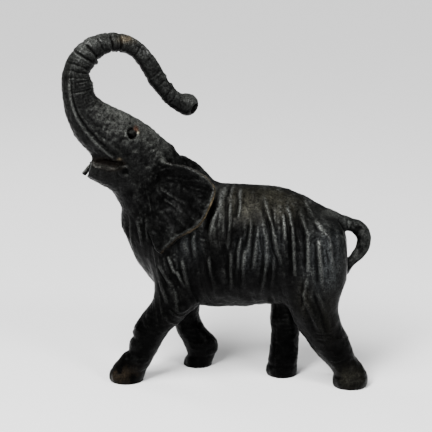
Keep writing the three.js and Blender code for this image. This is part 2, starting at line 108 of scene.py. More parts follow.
TRUNK = [
    [-35.1, 84.3, -44.1, 81.7, 4.1, 1],
    [-35.6, 86.2, -44.3, 85.0, 3.9, 1],
    [-36.0, 88.5, -44.2, 88.0, 3.7, 1],
    [-35.4, 90.4, -43.4, 91.0, 3.5, 1],
    [-34.4, 92.0, -42.2, 93.7, 3.3, 1],
    [-32.7, 93.7, -39.6, 96.6, 3.1, 1],
    [-30.4, 94.7, -35.9, 98.9, 2.9, 1],
    [-28.1, 94.9, -31.4, 99.9, 2.7, 1],
    [-25.8, 94.4, -27.1, 99.5, 2.6, 1],
    [-23.8, 93.2, -22.8, 97.9, 2.4, 1],
    [-22.3, 91.5, -19.2, 94.9, 2.3, 1],
    [-20.6, 89.1, -16.4, 91.1, 2.2, 1],
    [-19.0, 86.2, -14.4, 87.7, 2.2, 1],
    [-17.1, 83.3, -13.0, 85.4, 2.2, 1],
    [-15.1, 80.5, -11.2, 83.4, 2.2, 1],
    [-12.9, 78.5, -9.7, 82.2, 2.2, 1],
    [-10.5, 76.9, -7.5, 81.0, 2.2, 1],
]
BODY = TORSO + NECK + HEAD + TRUNK
BODY_FULLNESS = 0.07

# The knob at the trunk's end before the head's turn, and the bore in it
TIP_AT = (-7.8, 0, 78.9)
TIP_RADIUS = 3.15
TIP_BORE = 1.7
TIP_FACING = (0.58, -0.70, -0.42)
BORE_OUT = 0.85

# Ribs of the legs and the tail: front x, front z, rear x, rear z, half width, y
LEFT_FORELEG = [
    [-15.1, 45.9, -2.3, 44.3, 5.8, -6.2],
    [-16.6, 38.6, -1.6, 36.8, 6.0, -6.7],
    [-16.9, 31.3, -1.9, 28.9, 5.6, -6.9],
    [-17.5, 24.0, -3.6, 23.7, 4.9, -7.3],
    [-19.9, 19.8, -8.2, 19.1, 4.2, -7.6],
    [-22.0, 16.2, -11.3, 16.5, 4.0, -7.8],
    [-23.0, 12.9, -13.7, 13.3, 3.8, -8.0],
    [-24.0, 9.6, -15.6, 9.7, 3.6, -8.2],
    [-26.4, 6.4, -17.3, 6.3, 3.7, -8.4],
    [-29.3, 3.0, -18.8, 3.5, 4.2, -8.4],
    [-29.6, 0.9, -19.7, 1.2, 4.6, -8.4],
    [-29.3, -0.9, -20.1, -0.7, 4.5, -8.4],
]
RIGHT_FORELEG = [
    [-15.0, 43.0, -3.2, 41.2, 5.3, 6.2],
    [-14.6, 35.3, -3.9, 34.2, 5.6, 6.7],
    [-14.7, 27.6, -4.8, 26.5, 5.3, 6.9],
    [-14.2, 19.9, -5.5, 19.3, 4.4, 7.1],
    [-13.6, 15.2, -6.1, 15.9, 4.0, 7.3],
    [-12.5, 10.5, -4.4, 11.5, 3.8, 7.6],
    [-10.7, 6.8, -1.1, 7.9, 3.9, 7.8],
    [-9.6, 3.6, -0.7, 4.7, 3.7, 8.0],
    [-10.5, 1.3, -1.9, 2.0, 4.0, 8.2],
    [-11.0, -0.9, -2.4, -0.5, 4.2, 8.2],
]
LEFT_HIND_LEG = [
    [20.4, 47.0, 37.2, 43.3, 4.9, -6.2],
    [19.9, 40.0, 38.1, 38.3, 5.8, -6.9],
    [20.6, 32.8, 37.4, 32.6, 6.0, -7.1],
    [21.8, 25.5, 35.6, 25.2, 5.8, -6.9],
    [23.8, 18.9, 36.2, 20.1, 5.1, -6.4],
    [26.7, 14.1, 38.3, 15.5, 4.4, -5.8],
    [29.2, 10.4, 39.5, 11.5, 4.1, -5.1],
    [31.8, 7.0, 40.8, 8.3, 3.9, -4.4],
    [34.0, 4.3, 43.0, 5.6, 4.2, -4.0],
    [34.5, 1.9, 44.3, 3.1, 4.7, -4.0],
    [34.6, -0.9, 44.0, -0.4, 4.6, -4.0],
]
RIGHT_HIND_LEG = [
    [17.2, 41.0, 30.9, 38.5, 4.9, 6.2],
    [16.4, 32.9, 29.0, 31.5, 5.6, 6.4],
    [16.2, 26.0, 26.2, 24.9, 5.3, 6.2],
    [15.7, 20.9, 24.8, 21.0, 4.7, 5.8],
    [15.7, 16.3, 24.4, 16.7, 4.1, 4.9],
    [16.1, 11.9, 24.0, 12.3, 3.9, 4.2],
    [15.6, 6.6, 23.7, 7.0, 3.9, 3.6],
    [14.7, 1.5, 23.5, 2.5, 4.2, 3.1],
    [15.0, -0.9, 23.3, -0.5, 4.2, 3.1],
]
LEGS = [LEFT_FORELEG, RIGHT_FORELEG, LEFT_HIND_LEG, RIGHT_HIND_LEG]
TAIL = [
    [32.0, 50.3, 34.3, 44.0, 2.2, 0.0],
    [35.3, 49.3, 36.0, 44.6, 1.9, 0.0],
    [38.2, 48.6, 38.0, 44.5, 1.7, 0.0],
    [41.0, 47.6, 39.4, 43.6, 1.6, 0.0],
    [43.0, 45.8, 40.3, 42.3, 1.6, 0.0],
    [44.0, 42.9, 40.4, 41.3, 1.5, 0.0],
    [43.7, 39.7, 39.9, 39.7, 1.3, -0.4],
    [42.2, 37.3, 38.9, 38.0, 1.2, -0.9],
    [40.4, 35.6, 38.0, 36.8, 1.2, -1.5],
    [39.2, 34.3, 36.8, 35.3, 1.1, -2.2],
    [38.0, 32.9, 35.6, 34.0, 1.0, -3.0],
]

# The dome that closes a leg inside the body: its height, and the angles of its rings
LEG_DOME = 4.0
DOME_ANGLES = (75, 55, 35, 18)

# The left ear before the head's turn: its root line and its free edge, both from top to lobe
EAR_ROOT = [
    [-21.2, -3.4, 64.6],
    [-21.3, -3.8, 60.5],
    [-21.4, -4.2, 56.3],
    [-21.3, -4.8, 52.1],
    [-21.1, -5.7, 48.0],
    [-20.9, -7.0, 43.9],
    [-20.4, -9.2, 40.4],
]
EAR_EDGE = [
    [-20.1, -5.4, 65.9],
    [-16.5, -8.4, 64.1],
    [-12.1, -12.1, 63.4],
    [-8.3, -15.1, 61.3],
    [-6.3, -16.7, 59.0],
    [-5.9, -17.4, 57.1],
    [-6.6, -17.7, 55.0],
    [-7.8, -17.8, 52.6],
    [-9.2, -17.6, 49.8],
    [-11.3, -16.8, 47.2],
    [-13.8, -15.4, 45.4],
    [-15.9, -14.0, 44.0],
    [-17.8, -12.5, 41.7],
    [-19.5, -10.7, 39.5],
]

# Points down and across an ear, the share of its width where the rim begins, and its shape
EAR_ROWS = 90
EAR_COLUMNS = 46
EAR_RIM_FROM = 0.86
EAR_CUP = 1.3
EAR_PLEATS = 4
EAR_PLEAT_HEIGHT = 0.28
FAR_EAR_FLARE = math.radians(38)

# The mouth before the head's turn: the jaw as ribs of the body, its hollows as those of a leg
LOWER_JAW = [
    [-24.5, 66.0, -27.5, 53.8, 5.6, 1],
    [-28.0, 67.0, -31.5, 56.6, 5.4, 1],
    [-31.5, 67.8, -34.2, 58.2, 4.7, 1],
    [-34.6, 68.0, -36.3, 59.4, 3.7, 1],
    [-35.8, 67.0, -37.4, 60.2, 2.7, 1],
]
MOUTH = [
    [-30.0, 65.0, -30.0, 61.8, 1.8, 0.4],
    [-34.0, 66.4, -34.0, 60.8, 2.4, 0.8],
    [-36.2, 66.8, -36.2, 60.2, 2.4, 1.1],
    [-40.5, 68.4, -40.5, 59.9, 2.6, 1.3],
]
LIP_FURROW = [
    [-28.9, 65.0, -28.9, 63.9, 0.9, -7.0],
    [-31.2, 65.8, -31.2, 62.6, 2.0, -6.5],
    [-34.0, 65.9, -34.0, 63.2, 2.4, -5.6],
    [-36.4, 66.0, -36.4, 63.8, 2.4, -4.6],
    [-39.0, 66.4, -39.0, 64.0, 2.4, -3.9],
]

# The strip of lip on the far side: front x, front z, rear x, rear z, y
FAR_LIP = [
    [-33.6, 65.6, -32.7, 64.9, 3.3],
    [-34.9, 64.2, -33.9, 63.2, 3.1],
    [-36.3, 62.6, -35.3, 61.7, 2.9],
    [-38.1, 60.7, -37.0, 59.8, 2.7],
]

# Gaps round the lips and the jaw: start, end, radius
LIP_GAPS = [
    [[-37.0, -4.0, 65.7], [-37.0, 4.5, 65.7], 0.95],
    [[-36.2, -0.9, 62.7], [-35.0, 4.0, 61.7], 0.45],
    [[-37.1, -0.9, 61.7], [-36.0, 4.0, 60.6], 0.45],
]

# The left eye before the head's turn, and the socket that it lies in
EYE_AT = (-26.0, -6.05, 72.6)
EYE_BALL = 1.05
SOCKET_AT = (EYE_AT[0], EYE_AT[1] - 0.9, EYE_AT[2])
SOCKET_RADIUS = 1.6

# Steps from rib to rib, points round a ring, and fillets where the forms meet or are cut
RIB_STEPS = 8
CURVE_STEPS = 12
BODY_SIDES = 96
LEG_SIDES = 64
JAW_SIDES = 64
SMALL_SIDES = 48
LIP_SIDES = 24
FILLET = {
    "body": 0.01, "leg": 2.6, "tail": 1.2, "jaw": 1.2, "tip": 0.7, "bore": 0.3, "mouth": 0.3,
    "furrow": 0.5, "socket": 0.5, "eye": 0.15, "ear": 1.6, "lip gap": 0.3, "far lip": 0.2,
}

# Where the head begins: a point of the line over the crown, and the way across it, x and z
CROWN_AT = (-12.9, 67.6)
CROWN_ACROSS = (-0.64, 0.77)

# Folds of the hide on either side: x and z of the points they run through, half breadth, height
FOLDS = [
    [[5.6, 58.0], [5.1, 54.3], 0.50, 0.30],
    [[5.3, 53.6], [5.5, 47.5], [5.3, 41.6], 0.60, 0.45],
    [[7.6, 57.2], [8.1, 53.0], [7.9, 49.2], 0.55, 0.40],
    [[11.6, 48.6], [11.5, 45.0], [11.0, 41.5], 0.55, 0.50],
    [[14.5, 55.0], [17.3, 48.0], [18.7, 42.0], [20.3, 37.3], 0.60, 0.55],
    [[20.3, 50.8], [21.0, 43.7], 0.50, 0.40],
    [[21.1, 52.7], [23.1, 46.8], [23.6, 40.0], [23.9, 34.4], 0.60, 0.60],
    [[24.4, 55.5], [28.3, 49.7], 0.45, 0.35],
    [[24.9, 51.2], [27.2, 45.3], [27.7, 35.9], 0.55, 0.50],
    [[30.2, 44.5], [30.9, 38.0], [31.3, 32.3], 0.65, 0.50],
    [[33.1, 45.0], [34.0, 39.0], [34.2, 33.8], 0.60, 0.35],
    [[28.9, 49.4], [31.5, 46.2], 0.50, 0.45],
    [[6.0, 40.1], [6.0, 35.0], [6.3, 30.0], 0.55, 0.45],
    [[8.8, 44.5], [8.2, 40.0], [8.3, 35.0], 0.50, 0.40],
    [[10.2, 41.5], [9.6, 36.0], [9.7, 30.2], 0.60, 0.50],
    [[13.6, 47.0], [13.2, 42.5], [12.5, 35.5], 0.55, 0.45],
    [[16.0, 44.4], [16.1, 37.0], [14.7, 28.6], 0.60, 0.55],
    [[18.4, 40.0], [17.9, 34.5], [17.4, 29.5], 0.50, 0.35],
    [[3.4, 57.0], [2.4, 53.5], [1.1, 49.0], [0.1, 44.1], 1.05, 0.95],
    [[3.0, 50.5], [2.4, 47.0], 0.50, 0.35],
    [[-4.5, 45.6], [-4.4, 42.0], [-3.7, 38.4], 0.65, 0.45],
    [[-0.1, 38.1], [0.4, 34.0], [1.6, 30.1], 0.55, 0.45],
    [[-14.0, 35.2], [-12.4, 32.6], [-10.9, 30.0], 0.55, 0.50],
    [[-9.4, 34.3], [-8.2, 31.9], [-6.9, 29.5], 0.55, 0.45],
    [[-7.6, 37.7], [-6.6, 32.0], [-5.1, 27.0], 0.65, 0.50],
    [[-14.2, 30.9], [-13.0, 27.8], [-12.0, 24.6], 0.55, 0.40],
    [[-11.6, 38.4], [-10.6, 35.6], [-9.6, 33.0], 0.50, 0.40],
    [[21.0, 25.5], [22.2, 22.5], [23.9, 19.2], 0.45, 0.40],
    [[25.5, 30.3], [28.6, 24.0], [31.2, 18.0], 0.70, 0.40],
    [[30.1, 29.6], [32.3, 23.5], [33.7, 18.1], 0.60, 0.35],
    [[27.4, 33.5], [26.6, 29.0], [26.4, 24.0], 0.55, 0.40],
    [[-22.8, 48.6], [-22.9, 44.0], [-22.6, 38.9], 0.50, 0.45],
    [[-25.5, 47.6], [-25.2, 44.8], [-24.7, 42.6], 0.32, 0.55],
    [[-24.6, 47.0], [-24.5, 44.0], [-24.0, 41.0], 0.45, 0.40],
    [[-20.6, 47.7], [-20.0, 44.5], [-19.6, 41.0], 0.50, 0.45],
    [[-17.9, 49.1], [-17.7, 46.0], [-17.7, 42.7], 0.50, 0.40],
    [[-15.2, 47.0], [-15.1, 43.5], [-14.6, 40.2], 0.50, 0.35],
]

# Factor on the height of every fold, and the groove beside it: distance in half breadths, depth
FOLD_RISE = 1.35
GROOVE_BESIDE = 1.7
GROOVE_DEPTH = 0.55

# Streaks of the flanks: how they lean with height, and cells across them, in y and along them
STREAK_LEAN = 0.2
STREAK_LEVEL = 45
STREAK_CELL = (1.5, 9, 11)
FINE_STREAK_CELL = (0.8, 7, 7)
WIDE_STREAK_CELL = (2.3, 9, 15)
BRUSHED_CELL = (1.6, 8, 9)

# Broad hollows of the flanks: middle in x and z, reach in x and z, share of the depth
FLANK_HOLLOW_DEPTH = 0.9
FLANK_HOLLOWS = [
    [3.5, 40.5, 4.0, 7.5, 1.0],
    [19.0, 30.5, 3.0, 5.0, 0.6],
    [-12.5, 46.0, 3.2, 6.0, 0.5],
]

# Lumps left by the modeller's hand: cell, height, seed
HAND_LUMPS = [[5.5, 0.55, 1], [2.3, 0.30, 2]]

# Bumps and hollows at the thigh, the chest, the left foreleg and the front of the neck:
# middle, reach, height
BODY_BUMPS = [
    [(36.0, -6.5, 29.0), (3.5, 6.0, 6.0), 0.55],
    [(-17.0, -7.0, 27.0), (2.5, 5.0, 3.5), -0.60],
    [(-22.8, -8.0, 13.3), (2.6, 5.0, 0.55), -0.45],
    [(-24.2, -8.0, 9.3), (2.6, 5.0, 0.60), -0.45],
    [(-23.6, -8.5, 11.3), (2.2, 4.0, 0.9), 0.30],
    [(-27.4, -5.3, 50.3), (2.4, 4.0, 1.9), -1.10],
    [(-25.9, -5.0, 45.0), (1.3, 4.5, 2.6), 0.65],
]

# Arched folds over the elbow, on the outside of the left foreleg: x, z, radius
ELBOW_ARCS = [[-8.0, 24.5, 2.3], [-8.0, 24.5, 3.6], [-8.4, 23.0, 4.9]]
ARC_BREADTH = 0.42
ARC_HEIGHT = 0.32

# The knob under them: x, z, radius, height
ELBOW_KNOB = (-7.6, 23.4, 0.8, 0.45)

# Ankles and knees, where the legs crease most: level, reach, share. The feet have no creases
LEG_JOINTS = [[7.5, 2.2, 1.0], [16.0, 2.6, 0.8]]
CREASES_FROM = 3

# Creases across the trunk: rib of the trunk that they lie on, depth, half breadth
TRUNK_CREASES = [
    [0.6, 0.22, 0.28],
    [1.5, 0.20, 0.24],
    [2.0, 0.22, 0.22],
    [2.6, 0.20, 0.24],
    [3.3, 0.22, 0.26],
    [4.3, 0.45, 0.36],
    [5.1, 0.50, 0.38],
    [6.0, 0.22, 0.28],
    [6.9, 0.50, 0.34],
    [7.7, 0.48, 0.34],
    [9.2, 0.16, 0.30],
    [10.4, 0.12, 0.28],
    [11.6, 0.15, 0.28],
    [12.5, 0.12, 0.26],
    [13.6, 0.18, 0.26],
    [14.4, 0.16, 0.24],
]

# Length from rib to rib of the trunk, and the ripples on its inner side
RIB_SPACING = 3.0
RIPPLE_HEIGHT = 0.20
RIPPLE_LENGTH = 0.95

# Stretches of the trunk, by rib: where each begins, is whole, starts to fade and ends
CURL = (-2.4, -1.2, 4.0, 6.0)
ARCH = (3.0, 5.0, 12.0, 14.0)
OUTER_SIDE = (-3.0, 0.0, 6.0, 7.5)
JAW_EDGE = (-6.5, -5.0, 1.0, 3.5)
ARCH_EDGE = (3.0, 5.0, 10.0, 12.0)

# Ridges along the trunk's outer edge: share of its half height, half breadth, stretch, height
EDGE_RIDGES = [
    [-0.60, 0.42, JAW_EDGE, 0.42],
    [-0.36, 0.32, JAW_EDGE, 0.20],
    [-0.48, 0.30, JAW_EDGE, -0.12],
    [-0.66, 0.40, ARCH_EDGE, 0.22],
]

# Bumps on the head and the trunk before the head's turn: x, y, z, radius, height
HEAD_BUMPS = [
    [-33.6, 0.0, 91.3, 1.0, 1.50],
    [-35.0, 0.0, 85.6, 1.5, 0.45],
    [-36.6, 0.0, 88.9, 0.8, -0.45],
    [-16.2, 0.0, 89.3, 0.8, 0.35],
    [-14.6, 0.0, 87.2, 0.9, 0.42],
    [-12.6, 0.0, 84.8, 0.8, 0.40],
    [-27.3, -6.4, 76.4, 1.5, 0.55],
    [-23.4, -7.3, 74.4, 1.1, 0.35],
    [-24.5, -7.9, 70.4, 1.2, 0.35],
    [-29.4, -6.8, 70.9, 1.2, -0.35],
    [-30.4, -6.3, 66.9, 0.9, 0.40],
    [-27.6, -7.6, 67.0, 0.8, -0.35],
    [-26.0, -7.9, 67.6, 0.8, 0.35],
    [-28.3, -7.0, 62.3, 0.75, -0.60],
    [-22.5, -8.6, 64.4, 1.4, -0.45],
    [-10.2, 0.0, 65.2, 1.1, -0.55],
    [-12.4, 0.0, 67.5, 1.0, 0.35],
    [-24.4, -8.0, 59.5, 1.5, -0.50],
    [-26.5, -6.9, 56.5, 1.4, -0.60],
    [-23.2, -8.3, 55.6, 0.9, 0.35],
]
RIMMED_HOLLOW = (-28.3, -7.0, 62.3)

# Rings round the small hollow and the eye: middle, radius, height
HEAD_RINGS = [[RIMMED_HOLLOW, 1.35, 0.32], [EYE_AT, 1.95, 0.20]]
RING_BREADTH = 0.38

# The veins of the ears fan out from here, in x and z
FAN_FROM = (-25.0, 60.5)
RIM_BREADTH = 0.6
RIM_REACH = 0.7

# Toenails: middle of each foot in x and y, and how far the nails lie from it in x and y
FEET = [
    [-24.9, -8.4, 5.2, 4.6],
    [-6.6, 8.2, 4.6, 4.2],
    [39.4, -4.0, 5.2, 4.7],
    [19.1, 3.1, 4.6, 4.2],
]
NAIL_ANGLES = (-58, -22, 14, 50)
NAIL_LEVEL = 1.5
NAIL_REACH = (0.95, 0.95, 1.15)
NAIL_HEIGHT = 0.36

# Colours of the patina and of the painted highlights and sheen on it, linear
BLACK = (0.0010, 0.0010, 0.0010)
DULL_GREY = (0.0085, 0.0088, 0.0084)
# A light grey painted as a highlight on the crown, the shoulder fold and the rump
HIGHLIGHT_GREY = (0.055, 0.057, 0.052)
RUBBED_GREY = (0.047, 0.049, 0.046)
OLIVE = (0.0165, 0.0158, 0.0120)
# A blue-grey painted as a broad sheen on the flanks and the thigh
SHEEN_BLUE_GREY = (0.0170, 0.0185, 0.0190)
TAN = (0.125, 0.095, 0.054)
DULL_TAN = (0.080, 0.066, 0.044)
BROWN = (0.022, 0.0160, 0.0100)
RED_BROWN = (0.034, 0.016, 0.010)
CREAM = (0.12, 0.11, 0.08)
MOUTH_BROWN = (0.0042, 0.0029, 0.0020)

# What counts as a crest: rounds of smoothing, and height over the smoothed skin
CREST_SCALES = [[5, 0.07], [40, 0.40]]

# Areas kept dark as painted shade, with less rub and sheen: middle in x and z, reach in x and z,
# share
SHADE_AREAS = [
    [1.5, 41.0, 5.0, 7.5, 0.85],
    [25.4, 40.0, 1.4, 7.0, 0.60],
    [9.0, 31.0, 9.0, 3.5, 0.50],
]

# Broad areas seen from the side, olive where worn, light grey as painted highlight and blue-grey as
# painted sheen: middle in x and z, reach in x and z, colour, share
WORN_AND_SHEEN_AREAS = [
    [14.5, 54.0, 11.0, 4.5, OLIVE, 1.0],
    [32.0, 50.5, 3.0, 2.2, HIGHLIGHT_GREY, 0.5],
    [31.8, 38.5, 4.2, 8.0, SHEEN_BLUE_GREY, 1.2],
    [16.0, 42.0, 3.6, 4.5, SHEEN_BLUE_GREY, 1.0],
    [10.0, 40.0, 2.0, 4.0, SHEEN_BLUE_GREY, 0.6],
    [1.5, 50.5, 2.2, 5.5, HIGHLIGHT_GREY, 0.55],
    [39.5, 3.5, 4.5, 3.0, OLIVE, 0.7],
    [-6.0, 42.0, 3.0, 5.0, SHEEN_BLUE_GREY, 0.5],
    [26.5, 27.5, 2.2, 4.5, OLIVE, 0.35],
    [33.5, 23.0, 3.5, 8.0, OLIVE, 0.2],
]

# Spots of their own colour, and spots darkened as painted shade round the mouth and in the small
# hollow, before the head's turn but for the foot: middle, reach
FOOT_SPOT = ((-26.5, -11.5, 2.5), (4.5, 3.5, 2.6))
TRUNK_TOP_SPOT = ((-25.4, 0, 98.2), (2.6, 4.0, 0.9))
MOUTH_SHADE_SPOT = ((-31.0, -5.5, 64.8), (5.5, 6.0, 2.8))
LIP_SPOT = ((-30.0, -6.6, 65.9), (0.5, 2.0, 0.35))
EYE_CORNER = ((-24.6, -7.0, 74.0), (0.9, 3.0, 1.1))
EYE_FLECK = ((-24.1, -7.0, 72.9), (0.5, 3.0, 0.5))
HOLLOW_SHADE_SPOT = (RIMMED_HOLLOW, (0.9, 3.0, 0.9))
SOCKET_SHADE_AT = (-26.3, -6.2, 72.2)
SOCKET_SHADE_SQUASH = (1.1, 0.5, 0.75)
SOCKET_SHADE_REACH = 1.5

# Light and camera, in metres: each softbox has a name, a place, a size and a power
LIGHTS_AIM = Vector((0, 0, 0.22))
SOFTBOXES = [
    ["front", (-0.45, -1.4, 1.25), 0.45, 44],
    ["side", (1.5, -1.1, 1.2), 0.5, 32],
    ["rim", (-1.3, 1.0, 1.7), 0.7, 14],
]
SUN_TOWARD = Vector((0.28, 0.62, -1.0))
CAMERA_AZIMUTH = math.radians(8)
CAMERA_ELEVATION = math.radians(13)
CAMERA_DISTANCE = 1.8
CAMERA_TARGET = Vector((-0.0086, 0.0, 0.212))
VIEW_WIDTH = 0.5556

# The volume that the form is joined in: voxel, width of the band of distances, corners
VOXEL = 0.24
BAND = 8
FIELD_LOW = np.array([-49.0, -21.0, -3.0])
FIELD_HIGH = np.array([48.0, 23.0, 103.0])

# Points under this level are set flat on the ground
SOLE_LEVEL = 0.4 * VOXEL
MAX_TRIANGLES = 196000


def between_rows(rows, steps):
    """Rows of a table with smooth steps between them."""
    rows = np.array(rows, float)
    place = np.arange((len(rows) - 1) * steps + 1) / steps
    index = np.minimum(place.astype(int), len(rows) - 2)
    t = (place - index)[:, None]
    a = rows[np.maximum(index - 1, 0)]
    b = rows[index]
    c = rows[index + 1]
    d = rows[np.minimum(index + 2, len(rows) - 1)]
    bend = (2 * a - 5 * b + 4 * c - d) * t**2
    twist = (3 * b - a - 3 * c + d) * t**3
    return b + ((c - a) * t + bend + twist) / 2


def turned(points, share=1.0):
    """Points swung about the neck by a share of the head's turn."""
    angle = HEAD_TURN * np.asarray(share)
    reach = points[..., 0] - NECK_PIVOT
    x = NECK_PIVOT + reach * np.cos(angle) - points[..., 1] * np.sin(angle)
    y = reach * np.sin(angle) + points[..., 1] * np.cos(angle)
    return np.stack([x, y, points[..., 2]], -1)


def turned_back(points):
    """The same points before the head's turn."""
    reach = points[..., 0] - NECK_PIVOT
    x = NECK_PIVOT + reach * math.cos(HEAD_TURN) + points[..., 1] * math.sin(HEAD_TURN)
    y = points[..., 1] * math.cos(HEAD_TURN) - reach * math.sin(HEAD_TURN)
    return np.stack([x, y, points[..., 2]], -1)


def body_rings(ribs, sides):
    """Rings of points on ribs of the body, fuller below the middle than above it."""
    rows = between_rows(ribs, RIB_STEPS)
    angle = 2 * np.pi * np.arange(sides) / sides
    up = np.cos(angle)[None]
    side = np.sin(angle)[None] * (1 - BODY_FULLNESS * up)
    middle_x = (rows[:, 0] + rows[:, 2])[:, None] / 2
    middle_z = (rows[:, 1] + rows[:, 3])[:, None] / 2
    x = middle_x + (rows[:, 0] - rows[:, 2])[:, None] / 2 * up
    z = middle_z + (rows[:, 1] - rows[:, 3])[:, None] / 2 * up
    y = rows[:, 4:5] * side
    return turned(np.stack([x, y, z], -1), rows[:, 5:6])


def limb_rings(ribs, sides):
    """Rings of points on ribs of a limb."""
    rows = between_rows(ribs, RIB_STEPS)
    angle = 2 * np.pi * np.arange(sides) / sides
    front = np.cos(angle)[None] / 2
    x = (rows[:, 0] + rows[:, 2])[:, None] / 2 + (rows[:, 0] - rows[:, 2])[:, None] * front
    z = (rows[:, 1] + rows[:, 3])[:, None] / 2 + (rows[:, 1] - rows[:, 3])[:, None] * front
    y = rows[:, 5:6] + rows[:, 4:5] * np.sin(angle)[None]
    return np.stack([x, y, z], -1)


def domed(rings, height):
    """The rings with a dome over the first of them."""
    middle = rings[0].mean(0)
    up = middle - rings[RIB_STEPS // 2].mean(0)
    up = up / np.linalg.norm(up) * height
    angles = np.radians(DOME_ANGLES)
    dome = [middle + (rings[0] - middle) * math.cos(a) + up * math.sin(a) for a in angles]
    return np.concatenate([np.stack(dome), rings])


def skin(rings):
    """Points and triangles of a closed skin over rings of equal count."""
    count, sides = rings.shape[:2]
    around = np.arange(sides)
    following = (around + 1) % sides
    start = np.arange(count - 1)[:, None] * sides
    here, beside = start + around, start + following
    quads = np.stack([here, beside, beside + sides, here + sides], -1).reshape(-1, 4)
    ends = np.stack([rings[0].mean(0), rings[-1].mean(0)])
    points = np.concatenate([rings.reshape(-1, 3), ends])
    first_end = np.full(sides, count * sides)
    last_ring = (count - 1) * sides
    caps = [
        np.stack([following, around, first_end], -1),
        np.stack([around + last_ring, following + last_ring, first_end + 1], -1),
    ]
    triangles = np.concatenate([quads[:, [0, 1, 2]], quads[:, [0, 2, 3]], *caps])
    return points, triangles


def outward(points, triangles):
    """The triangles with their faces out."""
    a, b, c = (points[triangles[:, k]] for k in range(3))
    volume = np.einsum("ij,ij->i", a, np.cross(b, c)).sum()
    return triangles if volume > 0 else triangles[:, ::-1]


def cell_corners(share):
    """The eight corners of a cell, each with its weight at places inside the cell."""
    for corner in itertools.product((0, 1), repeat=3):
        yield corner, np.where(corner, share, 1 - share).prod(1)


class Block:
    """Distances to a solid in a box of voxels: low is the index of the box's first voxel."""

    def __init__(self, low, values):
        self.low = low
        self.values = values

    def at(self, points):
        """The distance at each point, and the band's width outside the box."""
        place = points / VOXEL - self.low
        index = np.floor(place).astype(int)
        shape = np.array(self.values.shape)
        inside = ((index >= 0) & (index < shape - 1)).all(1)
        index = np.clip(index, 0, shape - 2)
        total = np.zeros(len(points))
        for corner, weight in cell_corners(place - index):
            total += self.values[tuple((index + corner).T)] * weight
        return np.where(inside, total, BAND * VOXEL)


def solid(points, triangles):
    """The distance block of a closed skin."""
    triangles = outward(points, triangles)
    grid = vdb.FloatGrid.createLevelSetFromPolygons(
        points.astype(np.float32),
        triangles=np.ascontiguousarray(triangles, np.uint32),
        transform=vdb.createLinearTransform(voxelSize=VOXEL),
        halfWidth=BAND,
    )
    low = np.floor(points.min(0) / VOXEL).astype(int) - BAND
    high = np.ceil(points.max(0) / VOXEL).astype(int) + BAND + 1
    values = np.empty(high - low, np.float32)
    grid.copyToArray(values, ijk=tuple(int(v) for v in low))
    return Block(low, values)


def capsule(start, end, radius):
    """The distance block of a rounded stroke between two points, or of a ball at one."""
    reach = radius + BAND * VOXEL
    low = np.floor((np.minimum(start, end) - reach) / VOXEL).astype(int)
    high = np.ceil((np.maximum(start, end) + reach) / VOXEL).astype(int) + 1
    axes = [np.arange(low[k], high[k]) * VOXEL for k in range(3)]
    off = np.stack(np.meshgrid(*axes, indexing="ij"), -1) - start
    run = end - start
    share = np.clip((off * run).sum(-1) / max(float(run @ run), 1e-9), 0, 1)
    away = np.linalg.norm(off - share[..., None] * run, axis=-1)
    return Block(low, (away - radius).astype(np.float32))


class Field:
    """The joined form as distances on one large grid, less than 0 inside it."""

    def __init__(self):
        self.low = np.floor(FIELD_LOW / VOXEL).astype(int)
        self.high = np.ceil(FIELD_HIGH / VOXEL).astype(int)
        self.values = np.full(self.high - self.low, BAND * VOXEL, np.float32)

    def windows(self, block):
        """The parts of the grid and of the block that cover each other."""
        low = np.maximum(block.low, self.low)
        high = np.minimum(block.low + block.values.shape, self.high)
        mine = tuple(slice(a, b) for a, b in zip(low - self.low, high - self.low))
        theirs = tuple(slice(a, b) for a, b in zip(low - block.low, high - block.low))
        return self.values[mine], block.values[theirs]

    def join(self, block, fillet):
        """Add a block's form, rounded in where the two meet."""
        mine, theirs = self.windows(block)
        close = np.clip(1 - np.abs(mine - theirs) / fillet, 0, 1)
        mine[:] = np.minimum(mine, theirs) - fillet * close**2 / 4

    def cut(self, block, fillet):
        """Take a block's form away, with the edge of the cut rounded over."""
        mine, theirs = self.windows(block)
        close = np.clip(1 - np.abs(mine + theirs) / fillet, 0, 1)
        mine[:] = np.maximum(mine, -theirs) + fillet * close**2 / 4

    def cut_below(self, height):
        """Take away all that lies below a height."""
        z = np.arange(self.low[2], self.high[2]) * VOXEL
        self.values = np.maximum(self.values, (height - z).astype(np.float32)[None, None])

    def mesh(self):
        """Points and quads of the form's skin."""
        grid = vdb.FloatGrid(BAND * VOXEL)
        grid.transform = vdb.createLinearTransform(voxelSize=VOXEL)
        grid.copyFromArray(self.values, ijk=tuple(int(v) for v in self.low))
        points, quads = grid.convertToQuads(isovalue=0)
        return points.astype(float), quads.astype(int)


def head_point(point, mirror=1):
    """A point of the head, given before the turn, on the left side or mirrored to the right."""
    return turned(np.array([point[0], point[1] * mirror, point[2]], float))


